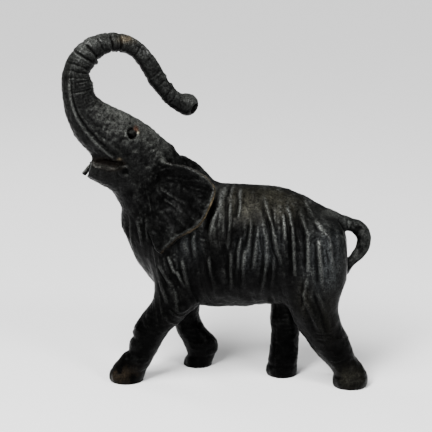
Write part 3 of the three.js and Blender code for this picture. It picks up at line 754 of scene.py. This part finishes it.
def ear(mirror, flare):
    """An ear, a pleated sheet with a thick rim: its distance block, and the points of the rim."""
    down = np.linspace(0, 1, EAR_ROWS)
    root = table_at(EAR_ROOT, down)
    edge = table_at(EAR_EDGE, down)
    down, out = np.meshgrid(down, np.linspace(0, 1, EAR_COLUMNS), indexing="ij")
    swell = np.sin(np.pi * out) * np.sin(np.pi * down)
    pleat = np.cos(2 * np.pi * EAR_PLEATS * down) * EAR_PLEAT_HEIGHT * np.sin(np.pi * out)
    reach_x = (edge - root)[:, None, 0] * out
    reach_y = (edge - root)[:, None, 1] * out + EAR_CUP * swell + pleat
    x = root[:, None, 0] + reach_x * math.cos(flare) + reach_y * math.sin(flare)
    y = root[:, None, 1] - reach_x * math.sin(flare) + reach_y * math.cos(flare)
    z = root[:, None, 2] + (edge - root)[:, None, 2] * out
    middle = np.stack([x, y, z], -1)
    normal = np.cross(np.gradient(middle, axis=1), np.gradient(middle, axis=0))
    normal /= np.linalg.norm(normal, axis=-1, keepdims=True)
    rim = np.clip((out - EAR_RIM_FROM) / (1 - EAR_RIM_FROM), 0, 1)
    thickness = (EAR_THICKNESS + (EAR_RIM - EAR_THICKNESS) * rim)[..., None]
    sheets = np.stack([middle - normal * thickness / 2, middle + normal * thickness / 2])
    sheets[..., 1] *= mirror
    points = turned(sheets).reshape(-1, 3)
    grid = np.arange(EAR_ROWS * EAR_COLUMNS).reshape(EAR_ROWS, EAR_COLUMNS)
    quads = np.stack([grid[:-1, :-1], grid[:-1, 1:], grid[1:, 1:], grid[1:, :-1]], -1).reshape(-1, 4)
    border = np.concatenate([grid[0, :-1], grid[:-1, -1], grid[-1, :0:-1], grid[:0:-1, 0]])
    following = np.roll(border, -1)
    back = EAR_ROWS * EAR_COLUMNS
    sides = np.stack([following, border, border + back, following + back], -1)
    quads = np.concatenate([quads, quads[:, ::-1] + back, sides])
    triangles = np.concatenate([quads[:, [0, 1, 2]], quads[:, [0, 2, 3]]])
    return solid(points, triangles), turned(np.stack([x, y * mirror, z], -1)[:, -1])


def table_at(rows, shares):
    """A table of points read at shares of its length, on smooth curves."""
    fine = between_rows(rows, CURVE_STEPS)
    place = np.asarray(shares) * (len(fine) - 1)
    columns = [np.interp(place, np.arange(len(fine)), fine[:, k]) for k in range(fine.shape[1])]
    return np.stack(columns, -1)


def build_form():
    """The whole figure as one field, with its ears, their rims and the furrows of its lips."""
    field = Field()
    field.join(solid(*skin(body_rings(BODY, BODY_SIDES))), FILLET["body"])
    for ribs in LEGS:
        field.join(solid(*skin(domed(limb_rings(ribs, LEG_SIDES), LEG_DOME))), FILLET["leg"])
    field.join(solid(*skin(limb_rings(TAIL, SMALL_SIDES))), FILLET["tail"])
    field.join(solid(*skin(body_rings(LOWER_JAW, JAW_SIDES))), FILLET["jaw"])
    tip = head_point(TIP_AT)
    field.join(capsule(tip, tip, TIP_RADIUS), FILLET["tip"])
    facing = np.array(TIP_FACING) * TIP_RADIUS * BORE_OUT
    bore = head_point(np.array(TIP_AT) + facing)
    field.cut(capsule(bore, bore, TIP_BORE), FILLET["bore"])
    field.cut(solid(*skin(turned(limb_rings(MOUTH, SMALL_SIDES)))), FILLET["mouth"])
    ears = []
    furrows = []
    for mirror, flare in ((1, 0.0), (-1, FAR_EAR_FLARE)):
        rings = limb_rings(LIP_FURROW, SMALL_SIDES)
        rings[..., 1] *= mirror
        furrows.append(solid(*skin(turned(rings))))
        field.cut(furrows[-1], FILLET["furrow"])
        socket = head_point(SOCKET_AT, mirror)
        field.cut(capsule(socket, socket, SOCKET_RADIUS), FILLET["socket"])
        eye = head_point(EYE_AT, mirror)
        field.join(capsule(eye, eye, EYE_BALL), FILLET["eye"])
        ears.append(ear(mirror, flare))
        field.join(ears[-1][0], FILLET["ear"])
    for start, end, radius in LIP_GAPS:
        field.cut(capsule(head_point(start), head_point(end), radius), FILLET["lip gap"])
    lip = [[a, b, c, d, FAR_LIP_HALF_WIDTH, y] for a, b, c, d, y in FAR_LIP]
    field.join(solid(*skin(turned(limb_rings(lip, LIP_SIDES)))), FILLET["far lip"])
    field.cut_below(0)
    return field, ears, furrows


def smooth(value, start, end):
    """0 at the start, 1 at the end, and an S between them."""
    t = np.clip((value - start) / (end - start), 0, 1)
    return t * t * (3 - 2 * t)


def stretch(value, start, whole, fading, end):
    """0 before the start and after the end, and 1 between the two middle places."""
    return smooth(value, start, whole) * (1 - smooth(value, fading, end))


def bell(distance, breadth):
    """1 at no distance, falling off over the breadth."""
    return np.exp(-((distance / breadth) ** 2))


def near_ball(points, centre, reach):
    """1 at a centre, falling off round it."""
    return np.exp(-(((points - np.array(centre)) / reach) ** 2).sum(1))


def near_oval(x, z, middle_x, middle_z, reach_x, reach_z):
    """1 at the middle of an oval seen from the side, falling off round it."""
    return np.exp(-(((x - middle_x) / reach_x) ** 2) - ((z - middle_z) / reach_z) ** 2)


def noise(points, seed):
    """Smooth noise from 0 to 1, with one cell to a unit."""
    cell = np.floor(points).astype(np.int64)
    total = np.zeros(len(points))
    for corner, weight in cell_corners(smooth(points - cell, 0, 1)):
        x, y, z = (cell + corner).T
        mixed = (x * 73856093) ^ (y * 19349663) ^ (z * 83492791) ^ (seed * 40503)
        mixed = ((mixed & 0xFFFFFFFF) ^ ((mixed & 0xFFFFFFFF) >> 13)) * 1274126177
        mixed = (mixed & 0xFFFFFFFF) ^ ((mixed & 0xFFFFFFFF) >> 16)
        total += (mixed & 0xFFFF) / 65535 * weight
    return total


def ridged(points, seed):
    """Noise with thin crests: 1 on a crest and 0 in the broad floor between."""
    return (1 - np.abs(2 * noise(points, seed) - 1)) ** 3


def vertex_normals(points, quads):
    """Unit normals at the points of a mesh of quads."""
    corner = points[quads]
    face = np.cross(corner[:, 2] - corner[:, 0], corner[:, 3] - corner[:, 1])
    sums = [np.bincount(quads.ravel(), np.repeat(part, 4), len(points)) for part in face.T]
    normals = np.stack(sums, -1)
    return normals / np.maximum(np.linalg.norm(normals, axis=1, keepdims=True), 1e-12)


def on_left_side(points):
    """The points, with those of the right half mirrored to the left."""
    return np.stack([points[:, 0], -np.abs(points[:, 1]), points[:, 2]], -1)


def along_flank(x, z):
    """Place along the flank of the hanging streak through x and z."""
    return x + STREAK_LEAN * (z - STREAK_LEVEL)


def rim_shares(points, ears):
    """1 on the rim of an ear, falling off from it."""
    shares = np.zeros(len(points))
    for block, rim in ears:
        tree = kdtree.KDTree(len(rim))
        for index, point in enumerate(rim):
            tree.insert(point, index)
        tree.balance()
        for vertex in np.flatnonzero(block.at(points) < RIM_REACH):
            away = tree.find(points[vertex])[2] / RIM_BREADTH
            shares[vertex] = max(shares[vertex], math.exp(-(away**2)))
    return shares


def trunk_place(head_points):
    """Where points lie on the trunk: rib, length along it, share of half its height, that half."""
    ribs = between_rows(HEAD[2:] + TRUNK, RIB_STEPS)
    middle = np.stack([ribs[:, 0] + ribs[:, 2], ribs[:, 1] + ribs[:, 3]], -1) / 2
    up = np.stack([ribs[:, 0] - ribs[:, 2], ribs[:, 1] - ribs[:, 3]], -1) / 2
    length = np.concatenate([[0], np.cumsum(np.linalg.norm(np.diff(middle, axis=0), axis=1))])
    along = np.gradient(middle, axis=0)
    spacing = np.linalg.norm(along, axis=1, keepdims=True)
    along /= spacing
    flat = head_points[:, [0, 2]]
    nearest = np.empty(len(flat), int)
    batch = 20000
    for start in range(0, len(flat), batch):
        part = flat[start:start + batch]
        nearest[start:start + batch] = ((part[:, None] - middle[None]) ** 2).sum(-1).argmin(1)
    offset = flat - middle[nearest]
    step = (offset * along[nearest]).sum(1)
    rib = (nearest + np.clip(step / spacing[nearest, 0], -1, 1)) / RIB_STEPS - (len(HEAD) - 2)
    half = np.linalg.norm(up[nearest], axis=1)
    height = (offset * up[nearest]).sum(1) / half**2
    return rib, length[nearest] + step, height, half


class Surface:
    """The points of the skin and where they lie on the figure, mostly as shares from 0 to 1."""

    def __init__(self, points, normals, ears):
        self.points = points
        self.x, self.y, self.z = points.T
        self.unturned = turned_back(points)
        self.left = on_left_side(self.unturned)
        self.side = np.abs(normals[:, 1])
        ahead = (self.unturned[:, 0] - CROWN_AT[0]) * CROWN_ACROSS[0]
        self.past_crown = ahead + (self.unturned[:, 2] - CROWN_AT[1]) * CROWN_ACROSS[1]
        self.head = smooth(self.past_crown, -1.5, 2.5)
        self.neck = smooth(self.past_crown, -14, -8) * (1 - self.head)
        self.ear = np.zeros(len(points))
        for block, _ in ears:
            self.ear = np.maximum(self.ear, 1 - smooth(block.at(points), 0.15, 1.6))
        self.rim = rim_shares(points, ears)
        self.tail = smooth(self.x, 37.8, 38.8) * smooth(self.z, 30, 33)
        self.bare = (1 - self.ear) * (1 - self.tail)
        self.leg = 1 - smooth(self.z, 18, 26)
        self.rib, self.length, self.share, self.half = trunk_place(self.unturned)
        self.trunk = smooth(self.rib, -2.6, -0.6) * self.head * (1 - self.ear)
        self.sway = 1.6 * (noise(points / 6.0, 3) - 0.5)
        self.sparse = 0.25 + 0.75 * smooth(noise(points / [4.0, 5.0, 9.0], 16), 0.35, 0.65)
        self.grain = noise(points / 0.75, 13) - 0.5

    def edge_ridge(self, place, breadth, run):
        """1 on a line along the outer side of the trunk, falling off to either side of it."""
        line = bell((self.share - place) * self.half, breadth)
        return line * stretch(self.rib, *run) * self.head * (1 - self.ear)


def hand_lumps(at):
    """Height of the lumps that the modeller's hand left all over."""
    height = np.zeros(len(at.points))
    for cell, rise, seed in HAND_LUMPS:
        height += rise * (noise(at.points / cell, seed) - 0.5)
    return height * (1 - 0.6 * np.maximum(at.ear, 0.8 * at.head))


def fold_relief(x, z):
    """Height of the folds at x and z on a side of the body."""
    height = np.zeros(len(x))
    for fold in FOLDS:
        line, breadth, rise = np.array(fold[:-2]), fold[-2], fold[-1]
        lengths = np.linalg.norm(np.diff(line, axis=0), axis=1)
        before = 0.0
        nearest = np.full(len(x), np.inf)
        value = np.zeros(len(x))
        for start, end, length in zip(line[:-1], line[1:], lengths):
            run = (end - start) / length
            along = (x - start[0]) * run[0] + (z - start[1]) * run[1]
            held = np.clip(along, 0, length)
            off_x = x - start[0] - held * run[0]
            off_z = z - start[1] - held * run[1]
            distance = np.hypot(off_x, off_z)
            across = np.where(off_x * run[1] - off_z * run[0] > 0, distance, -distance)
            share = (before + held) / lengths.sum()
            fade = np.sqrt(np.clip(4 * share * (1 - share), 0.05, 1))
            groove = bell(across - GROOVE_BESIDE * breadth, breadth)
            groove = groove * (np.abs(along - held) < breadth)
            profile = rise * fade * (bell(distance, breadth) - GROOVE_DEPTH * groove)
            value = np.where(distance < nearest, profile, value)
            nearest = np.minimum(nearest, distance)
            before += length
        height += value
    return height


def flank_relief(at):
    """Height of the folds that hang on the flanks, the streaks between them, and the hollows."""
    hanging = at.side * (1 - at.head) * at.bare * smooth(at.z, 14, 19)
    across = np.stack([along_flank(at.x, at.z) + at.sway, at.y, at.z], -1)
    calm = smooth(at.z + 0.25 * (at.x - 10), 51, 56) * smooth(at.x, 1, 7)
    height = fold_relief(at.x, at.z) * hanging * FOLD_RISE
    wide = noise(across / WIDE_STREAK_CELL, 18) - 0.5
    height += 0.9 * wide * hanging * (1 - 0.9 * calm)
    streaks = 0.22 * ridged(across / STREAK_CELL, 4) + 0.12 * ridged(across / FINE_STREAK_CELL, 5)
    height += streaks * at.sparse * hanging * (1 - 0.95 * calm)
    hollow = np.zeros(len(at.points))
    for *oval, share in FLANK_HOLLOWS:
        hollow += share * near_oval(at.x, at.z, *oval)
    return height - FLANK_HOLLOW_DEPTH * hollow * at.side * at.bare * (1 - at.head)


def elbow_relief(at):
    """Height of the arched folds and the small knob at the left elbow."""
    height = np.zeros(len(at.points))
    for centre_x, centre_z, radius in ELBOW_ARCS:
        away = np.hypot(at.x - centre_x, at.z - centre_z) - radius
        lower = smooth(at.x - centre_x + 2 * (centre_z - at.z), -2, 2)
        height += ARC_HEIGHT * bell(away, ARC_BREADTH) * lower
    knob_x, knob_z, radius, rise = ELBOW_KNOB
    height += rise * bell(np.hypot(at.x - knob_x, at.z - knob_z), radius)
    return height * at.side * (at.y < 0) * at.bare


def leg_relief(at):
    """Height of the creases round the legs, and of the toenails with a groove over them."""
    level = at.z + 0.9 * np.sin(at.x / 2.1 + at.y) + 1.2 * (noise(at.points / 3.0, 6) - 0.5)
    joints = sum(share * bell(at.z - middle, reach) for middle, reach, share in LEG_JOINTS)
    creases = ridged(np.stack([level / 1.1, at.x / 6, at.y / 6], -1), 7)
    height = 0.26 * creases * joints * at.sparse
    height += 0.10 * ridged(at.points / [2.4, 2.4, 1.4], 8)
    height *= at.leg * (at.z > CREASES_FROM)
    for foot_x, foot_y, reach_x, reach_y in FEET:
        for turn in np.radians(NAIL_ANGLES):
            nail_x = foot_x - reach_x * math.cos(turn)
            nail_y = foot_y + reach_y * math.sin(turn)
            height += NAIL_HEIGHT * near_ball(at.points, (nail_x, nail_y, NAIL_LEVEL), NAIL_REACH)
    return height - 0.18 * bell(at.z - 3.4, 0.5) * at.leg


def trunk_relief(at):
    """Height of the trunk's creases, its furrowed inner side and the ridges on its outer side."""
    wander = at.rib + 0.12 * (noise(at.points / 1.6, 9) - 0.5) - 0.10 * at.share
    outward_fade = 0.35 + 0.65 * smooth(at.share, -0.9, -0.2)
    height = np.zeros(len(at.points))
    for place, depth, breadth in TRUNK_CREASES:
        gap = (wander - place) * RIB_SPACING
        height -= depth * bell(gap, breadth) * at.trunk * outward_fade
    swell = at.length / RIPPLE_LENGTH + 0.5 * noise(at.points / 2.6, 10)
    ripple = np.abs(np.sin(math.pi * swell)) - 0.6
    patchy = 0.15 + 0.85 * smooth(noise(at.points / 3.2, 11), 0.45, 0.7)
    curl = stretch(at.rib, *CURL) * smooth(at.share, -0.1, 0.7)
    height += RIPPLE_HEIGHT * ripple * (0.22 + 1.2 * curl * patchy) * at.trunk
    height += 0.42 * stretch(at.rib, *ARCH) * smooth(at.share, -0.4, 0.7) * at.head
    height -= 0.45 * stretch(at.rib, *OUTER_SIDE) * smooth(-at.share, 0, 0.8) * at.head
    for *ridge, rise in EDGE_RIDGES:
        height += rise * at.edge_ridge(*ridge)
    return height


def head_relief(at):
    """Height of the head's bumps, hollows, lids and creases, and of the pitted grain."""
    height = np.zeros(len(at.points))
    for bump_x, bump_y, bump_z, radius, rise in HEAD_BUMPS:
        height += rise * near_ball(at.left, (bump_x, bump_y, bump_z), (radius, 2 * radius, radius))
    for centre, radius, rise in HEAD_RINGS:
        away = np.linalg.norm((at.left - np.array(centre)) * [1, 0.6, 1], axis=1) - radius
        height += rise * bell(away, RING_BREADTH)
    across = at.past_crown / 1.3 + at.sway
    creases = ridged(np.stack([across, at.unturned[:, 1] / 5, at.unturned[:, 0] / 5], -1), 12)
    height += 0.09 * creases * at.head * (1 - at.trunk) * (1 - at.ear)
    pits = ridged(at.points / 1.1, 14)
    pitted = np.clip(at.head * (1 - 0.6 * at.trunk) + 0.7 * at.neck, 0, 1) * (1 - 0.5 * at.ear)
    height += (0.28 * at.grain + 0.05 * pits) * pitted
    return height + 0.14 * at.grain * (1 - pitted) * (1 - 0.6 * at.ear)


def ear_relief(at):
    """Height of the veins that fan over the ears, and of their raised rims."""
    off_x = at.unturned[:, 0] - FAN_FROM[0]
    off_z = at.unturned[:, 2] - FAN_FROM[1]
    turn, reach, flat = np.arctan2(off_z, off_x), np.hypot(off_z, off_x), np.zeros(len(off_x))
    veins = ridged(np.stack([turn * 6.5, reach / 6, flat], -1), 15)
    veins += 0.6 * ridged(np.stack([turn * 12, reach / 5, flat], -1), 17)
    return (0.22 * veins + 0.14 * at.grain) * at.ear * (1 - at.rim) + 0.24 * at.rim


def relief(at):
    """Height of all the modelling over the joined form, and none at the soles."""
    height = hand_lumps(at) + flank_relief(at) + elbow_relief(at) + leg_relief(at)
    height += trunk_relief(at) + head_relief(at) + ear_relief(at)
    for centre, reach, rise in BODY_BUMPS:
        height += rise * near_ball(at.points, centre, reach)
    return height * smooth(at.z, 0.0, 0.8)


def smoothed(values, quads, rounds):
    """Values at the vertices of a mesh, evened out with those of their neighbours."""
    start = quads.ravel()
    end = np.roll(quads, -1, axis=1).ravel()
    vertex, neighbour = np.concatenate([start, end]), np.concatenate([end, start])
    degree = np.bincount(vertex, minlength=len(values))
    for _ in range(rounds):
        sums = [np.bincount(vertex, column[neighbour], len(values)) for column in values.T]
        values = np.stack([total / degree for total in sums], -1)
    return values


def crests(points, normals, quads):
    """How far each vertex stands over the skin round it: 1 on a crest and -1 in a groove."""
    crest = np.zeros(len(points))
    for rounds, rise in CREST_SCALES:
        over = ((points - smoothed(points, quads, rounds)) * normals).sum(1)
        crest += np.clip(over / rise, -1, 1) / len(CREST_SCALES)
    return crest


def blend(colour, other, share):
    """The colours with a share of another one mixed in."""
    return colour + (np.array(other)[None] - colour) * share[:, None]


def shaded(colour, share):
    """The colours with a share of their light taken away."""
    return colour * (1 - share)[:, None]


def handling_and_light(points):
    """How far a place is handled and lit: least on the legs, under the belly and at the elbow, as
    painted shade, and patchy at random.
    """
    x, y, z = points.T
    handled_and_lit = 0.16 + 0.84 * smooth(z, 20, 40)
    for *oval, share in SHADE_AREAS:
        handled_and_lit *= 1 - share * near_oval(x, z, *oval)
    cloudy = smooth(noise(points / [5.0, 6.0, 8.0], 24), 0.3, 0.7)
    return handled_and_lit * (0.35 + 0.65 * cloudy)


def patina_and_light_colours(points, normals, crest, mottle, at):
    """The black patina: duller on the head, worn in places and rubbed to grey on the crests, with
    painted highlights and sheen on upward faces and flanks, and painted shade in the grooves, on the
    legs and under the belly.
    """
    x, y, z = points.T
    upward = smooth(normals[:, 2], -0.6, 0.7)
    handled_and_lit = handling_and_light(points)
    matt = np.clip(at.head * (1 - 0.4 * at.trunk) + at.ear + 0.6 * at.neck, 0, 1)
    # Grey rub on the crests is wear; its weight on upward faces is painted sheen, and its loss where
    # little is handled and lit is painted shade
    rub_and_sheen = smooth(crest + 0.45 * (mottle - 0.5), 0.10, 0.85) * (0.10 + 0.90 * upward)
    rub_and_sheen *= handled_and_lit * (1 - 0.62 * matt) * (1 - 0.6 * at.rim * smooth(z, 56, 59))
    # Less rub round the mouth: part of its painted shade
    rub_and_sheen *= 1 - 0.7 * near_ball(on_left_side(turned_back(points)), *MOUTH_SHADE_SPOT)
    # Darker toward the legs and the belly: painted shade
    base = (0.5 + mottle) * (0.25 + 0.75 * smooth(z, 14, 36))
    colour = np.array(BLACK)[None] * base[:, None]
    # Dull grey at random as patina, more on upward faces as painted sheen, and less where little is
    # handled and lit, as painted shade
    dull_and_sheen = smooth(mottle + 0.3 * upward, 0.55, 1.0) * handled_and_lit
    dull_and_sheen = np.maximum(dull_and_sheen, (0.5 + 0.4 * mottle) * at.head * (0.35 + 0.65 * upward))
    colour = blend(colour, DULL_GREY, 0.8 * dull_and_sheen * (1 - 0.5 * at.ear))
    # Light grey on the upward faces of the head: a painted highlight
    crown_highlight = at.head * (1 - 0.65 * at.trunk) * smooth(normals[:, 2], 0.15, 0.85)
    colour = blend(colour, HIGHLIGHT_GREY, 0.8 * crown_highlight * (0.6 + 0.4 * smooth(mottle, 0.3, 0.6)))
    body = (1 - at.head) * (1 - at.ear) * smooth(np.abs(normals[:, 1]), 0.0, 0.5)
    hanging = np.stack([along_flank(x, z), y, z], -1)
    brushed = smooth(noise(hanging / BRUSHED_CELL, 25), 0.25, 0.65)
    # Olive wear, and painted highlight and sheen in grey and blue-grey, over broad areas of the
    # flanks
    for *oval, shade, share in WORN_AND_SHEEN_AREAS:
        worn_and_sheen = near_oval(x, z, *oval) * body * (0.5 + 0.5 * brushed) * share
        colour = blend(colour, shade, np.clip(worn_and_sheen, 0, 1))
    colour = blend(colour, RUBBED_GREY, rub_and_sheen)
    colour = blend(colour, RUBBED_GREY, 0.5 * smooth(at.edge_ridge(*EDGE_RIDGES[0][:3]), 0.55, 0.95))
    # Darker in the grooves: painted shade
    colour = shaded(colour, 0.8 * smooth(-crest, 0.05, 0.6))
    # Darker on the legs: painted shade
    colour = shaded(colour, 0.45 * (1 - smooth(z, 16, 30)))
    colour = shaded(colour, 0.45 * at.tail)
    return shaded(colour, 0.35 * at.neck * (1 - at.ear))


def with_worn_places(colour, points, mottle, at):
    """The colours, worn at the ears' edges, the left front foot and the top of the trunk."""
    z = points[:, 2]
    patch = 0.4 + 0.6 * smooth(noise(points / 1.3, 23), 0.35, 0.6)
    edge = smooth(at.rim, 0.6, 0.95) * patch
    side_edge = bell(z - 54.5, 5.5)
    colour = blend(colour, BROWN, 0.70 * smooth(50 - z, -2, 4) * edge * (1 - side_edge))
    colour = blend(colour, RUBBED_GREY, 0.35 * smooth(z, 57, 60) * edge)
    colour = blend(colour, TAN, 0.85 * side_edge * edge)
    foot = near_ball(points, *FOOT_SPOT)
    colour = blend(colour, BROWN, 0.5 * foot * smooth(mottle, 0.35, 0.65))
    top = near_ball(turned_back(points), *TRUNK_TOP_SPOT)
    return blend(colour, TAN, 0.45 * top * patch)


def with_eye_and_mouth(colour, points, furrows):
    """The colours with the corner of the eye, and painted shade in its socket, in the small hollow
    and round the brown mouth.
    """
    left = on_left_side(turned_back(points))
    colour = blend(colour, RED_BROWN, 0.8 * smooth(near_ball(left, *EYE_CORNER), 0.2, 0.7))
    colour = blend(colour, CREAM, 0.8 * smooth(near_ball(left, *EYE_FLECK), 0.3, 0.8))
    off_socket = (left - np.array(SOCKET_SHADE_AT)) * SOCKET_SHADE_SQUASH
    away = np.linalg.norm(off_socket, axis=1) / SOCKET_SHADE_REACH
    colour = shaded(colour, 0.88 * np.exp(-(away**4)))
    # Painted shade in the small hollow
    colour = shaded(colour, 0.75 * near_ball(left, *HOLLOW_SHADE_SPOT))
    inside = np.zeros(len(points))
    for block in furrows:
        inside = np.maximum(inside, 1 - smooth(block.at(points), 0.15, 0.9))
    colour = blend(colour, MOUTH_BROWN, 0.6 * inside)
    # Painted shade round the mouth
    colour = shaded(colour, 0.5 * near_ball(left, *MOUTH_SHADE_SPOT))
    return blend(colour, DULL_TAN, 0.7 * near_ball(left, *LIP_SPOT))


def colours(points, normals, crest, at, furrows):
    """The colour of the patina at each vertex, with its painted light and shade."""
    mottle = noise(points / 2.0, 21) * 0.6 + noise(points / 0.8, 22) * 0.4
    colour = patina_and_light_colours(points, normals, crest, mottle, at)
    colour = with_worn_places(colour, points, mottle, at)
    return with_eye_and_mouth(colour, points, furrows)


def new_object(name, points, faces):
    """A smooth mesh object of quads, or of triangles."""
    mesh = bpy.data.meshes.new(name)
    corners = faces.shape[1]
    mesh.vertices.add(len(points))
    mesh.vertices.foreach_set("co", points.astype(np.float32).ravel())
    mesh.loops.add(faces.size)
    mesh.loops.foreach_set("vertex_index", faces.astype(np.int32).ravel())
    mesh.polygons.add(len(faces))
    mesh.polygons.foreach_set("loop_start", np.arange(0, faces.size, corners, dtype=np.int32))
    mesh.polygons.foreach_set("use_smooth", np.ones(len(faces), bool))
    mesh.update(calc_edges=True)
    mesh.validate()
    piece = bpy.data.objects.new(name, mesh)
    bpy.context.scene.collection.objects.link(piece)
    return piece


def decimated(piece, triangles):
    """The piece's mesh with no more than that many triangles."""
    count = sum(len(polygon.vertices) - 2 for polygon in piece.data.polygons)
    modifier = piece.modifiers.new("Fewer", "DECIMATE")
    modifier.ratio = min(1.0, triangles / count)
    depsgraph = bpy.context.evaluated_depsgraph_get()
    mesh = bpy.data.meshes.new_from_object(piece.evaluated_get(depsgraph))
    piece.modifiers.clear()
    old = piece.data
    piece.data = mesh
    bpy.data.meshes.remove(old)
    return piece


def cast_mesh():
    """The elephant as one piece in metres, with its colours and crests at its vertices."""
    field, ears, furrows = build_form()
    points, quads = field.mesh()
    normals = vertex_normals(points, quads)
    surface = Surface(points, normals, ears)
    points = points + normals * relief(surface)[:, None]
    normals = vertex_normals(points, quads)
    crest = crests(points, normals, quads)
    patina_and_light = colours(points, normals, crest, surface, furrows)
    points[:, 2] = np.where(points[:, 2] < SOLE_LEVEL, 0, points[:, 2])
    middle = (points.min(0) + points.max(0)) / 2
    placed = (points - [middle[0], middle[1], 0]) * UNIT
    piece = new_object("cast_elephant", placed, quads)
    # The patina colours, with their painted highlights, sheen and shade, and the crests go to the
    # mesh as vertex colours
    for name, values in (("patina_and_light", patina_and_light), ("crest", np.repeat(crest[:, None], 3, 1))):
        layer = piece.data.color_attributes.new(name, "FLOAT_COLOR", "POINT")
        rgba = np.concatenate([values, np.ones((len(values), 1))], 1)
        layer.data.foreach_set("color", rgba.astype(np.float32).ravel())
    return decimated(piece, MAX_TRIANGLES)


def wired(material, node, inputs):
    """The material's node, with each of the named inputs linked to a socket or set to a value."""
    for name, value in inputs.items():
        if isinstance(value, bpy.types.NodeSocket):
            material.node_tree.links.new(value, node.inputs[name])
        else:
            node.inputs[name].default_value = value
    return node


def bronze_material():
    """A black patina with a satin surface, tinted by the vertex colours with their painted light and
    shade: rubbed crests are lighter and smoother.
    """
    material = bpy.data.materials.new("bronze")
    material.use_nodes = True
    nodes = material.node_tree.nodes
    place = nodes.new("ShaderNodeTexCoord").outputs["Object"]

    def vertex_layer(name):
        node = nodes.new("ShaderNodeAttribute")
        node.attribute_name = name
        return node

    def grainy(scale, detail, roughness=0.55):
        node = nodes.new("ShaderNodeTexNoise")
        inputs = {"Vector": place, "Scale": scale, "Detail": detail, "Roughness": roughness}
        return wired(material, node, inputs).outputs["Fac"]

    def remapped(value, *range_ends):
        node = nodes.new("ShaderNodeMapRange")
        names = ("From Min", "From Max", "To Min", "To Max")
        return wired(material, node, {"Value": value, **dict(zip(names, range_ends))}).outputs[0]

    def combined(operation, first, second):
        node = nodes.new("ShaderNodeMath")
        node.operation = operation
        return wired(material, node, {0: first, 1: second}).outputs[0]

    speckle = remapped(grainy(scale=620, detail=3), 0.36, 0.66, 0.25, 2.0)
    cloud = remapped(grainy(scale=70, detail=4), 0.35, 0.65, 0.75, 1.3)
    tint = nodes.new("ShaderNodeVectorMath")
    tint.operation = "SCALE"
    patina_and_light = vertex_layer("patina_and_light").outputs["Color"]
    wired(material, tint, {0: patina_and_light, "Scale": combined("MULTIPLY", speckle, cloud)})
    worn_and_sheen = remapped(vertex_layer("crest").outputs["Fac"], -0.6, 0.7, 0.10, -0.08)
    satin = remapped(grainy(scale=160, detail=4), 0.3, 0.7, 0.27, 0.46)
    grain = nodes.new("ShaderNodeBump")
    pitted = grainy(scale=750, detail=4, roughness=0.65)
    wired(material, grain, {"Strength": 0.55, "Distance": 0.0006, "Height": pitted})
    wired(material, nodes["Principled BSDF"], {
        "Base Color": tint.outputs[0],
        "Metallic": 0.35,
        "Roughness": combined("ADD", worn_and_sheen, satin),
        "Specular IOR Level": 0.08,
        "Specular Tint": (0.3, 0.3, 0.3, 1),
        "Normal": grain.outputs["Normal"],
    })
    return material


def set_in_scene(name, data, at, toward):
    """A lamp or a camera at a place, looking along a direction."""
    item = bpy.data.objects.new(name, data)
    item.location = at
    item.rotation_euler = toward.to_track_quat("-Z", "Y").to_euler()
    bpy.context.scene.collection.objects.link(item)
    return item


def softbox(name, at, size, power):
    """A square lamp that is aimed at the figure."""
    light = bpy.data.lights.new(name, "AREA")
    light.shape = "SQUARE"
    light.size = size
    light.energy = power
    set_in_scene(name, light, at, LIGHTS_AIM - Vector(at))


elephant = cast_mesh()
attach(elephant, "root")
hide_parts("elephant")
elephant.data.materials.append(bronze_material())

# A wide, dull, pale floor
bpy.ops.mesh.primitive_plane_add(size=80)
floor = bpy.context.object
floor.name = "floor"
pale = bpy.data.materials.new("pale_floor")
pale.use_nodes = True
pale_shader = pale.node_tree.nodes["Principled BSDF"]
pale_shader.inputs["Base Color"].default_value = (0.9, 0.9, 0.9, 1)
pale_shader.inputs["Roughness"].default_value = 0.9
floor.data.materials.append(pale)
floor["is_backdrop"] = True

# Soft light from all round, from three softboxes and from above
world = bpy.data.worlds.new("studio")
bpy.context.scene.world = world
world.use_nodes = True
world.node_tree.nodes["Background"].inputs["Color"].default_value = (1, 1, 1, 1)
world.node_tree.nodes["Background"].inputs["Strength"].default_value = 0.25
for name, at, size, power in SOFTBOXES:
    softbox(name, at, size, power)
sun = bpy.data.lights.new("overhead", "SUN")
sun.energy = 4.8
sun.angle = math.radians(32)
set_in_scene("overhead", sun, (0, 0, 0), SUN_TOWARD)

# The camera, a little above the figure and a little round toward its rump
back = Vector((
    math.sin(CAMERA_AZIMUTH) * math.cos(CAMERA_ELEVATION),
    -math.cos(CAMERA_AZIMUTH) * math.cos(CAMERA_ELEVATION),
    math.sin(CAMERA_ELEVATION),
))
camera_data = bpy.data.cameras.new("camera")
camera_data.angle = 2 * math.atan(VIEW_WIDTH / 2 / CAMERA_DISTANCE)
camera_at = CAMERA_TARGET + back * CAMERA_DISTANCE
bpy.context.scene.camera = set_in_scene("camera", camera_data, camera_at, -back)

visual_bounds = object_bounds()
plain = [[list(map(float, corner)) for corner in box] for box in (cad_bounds, visual_bounds)]
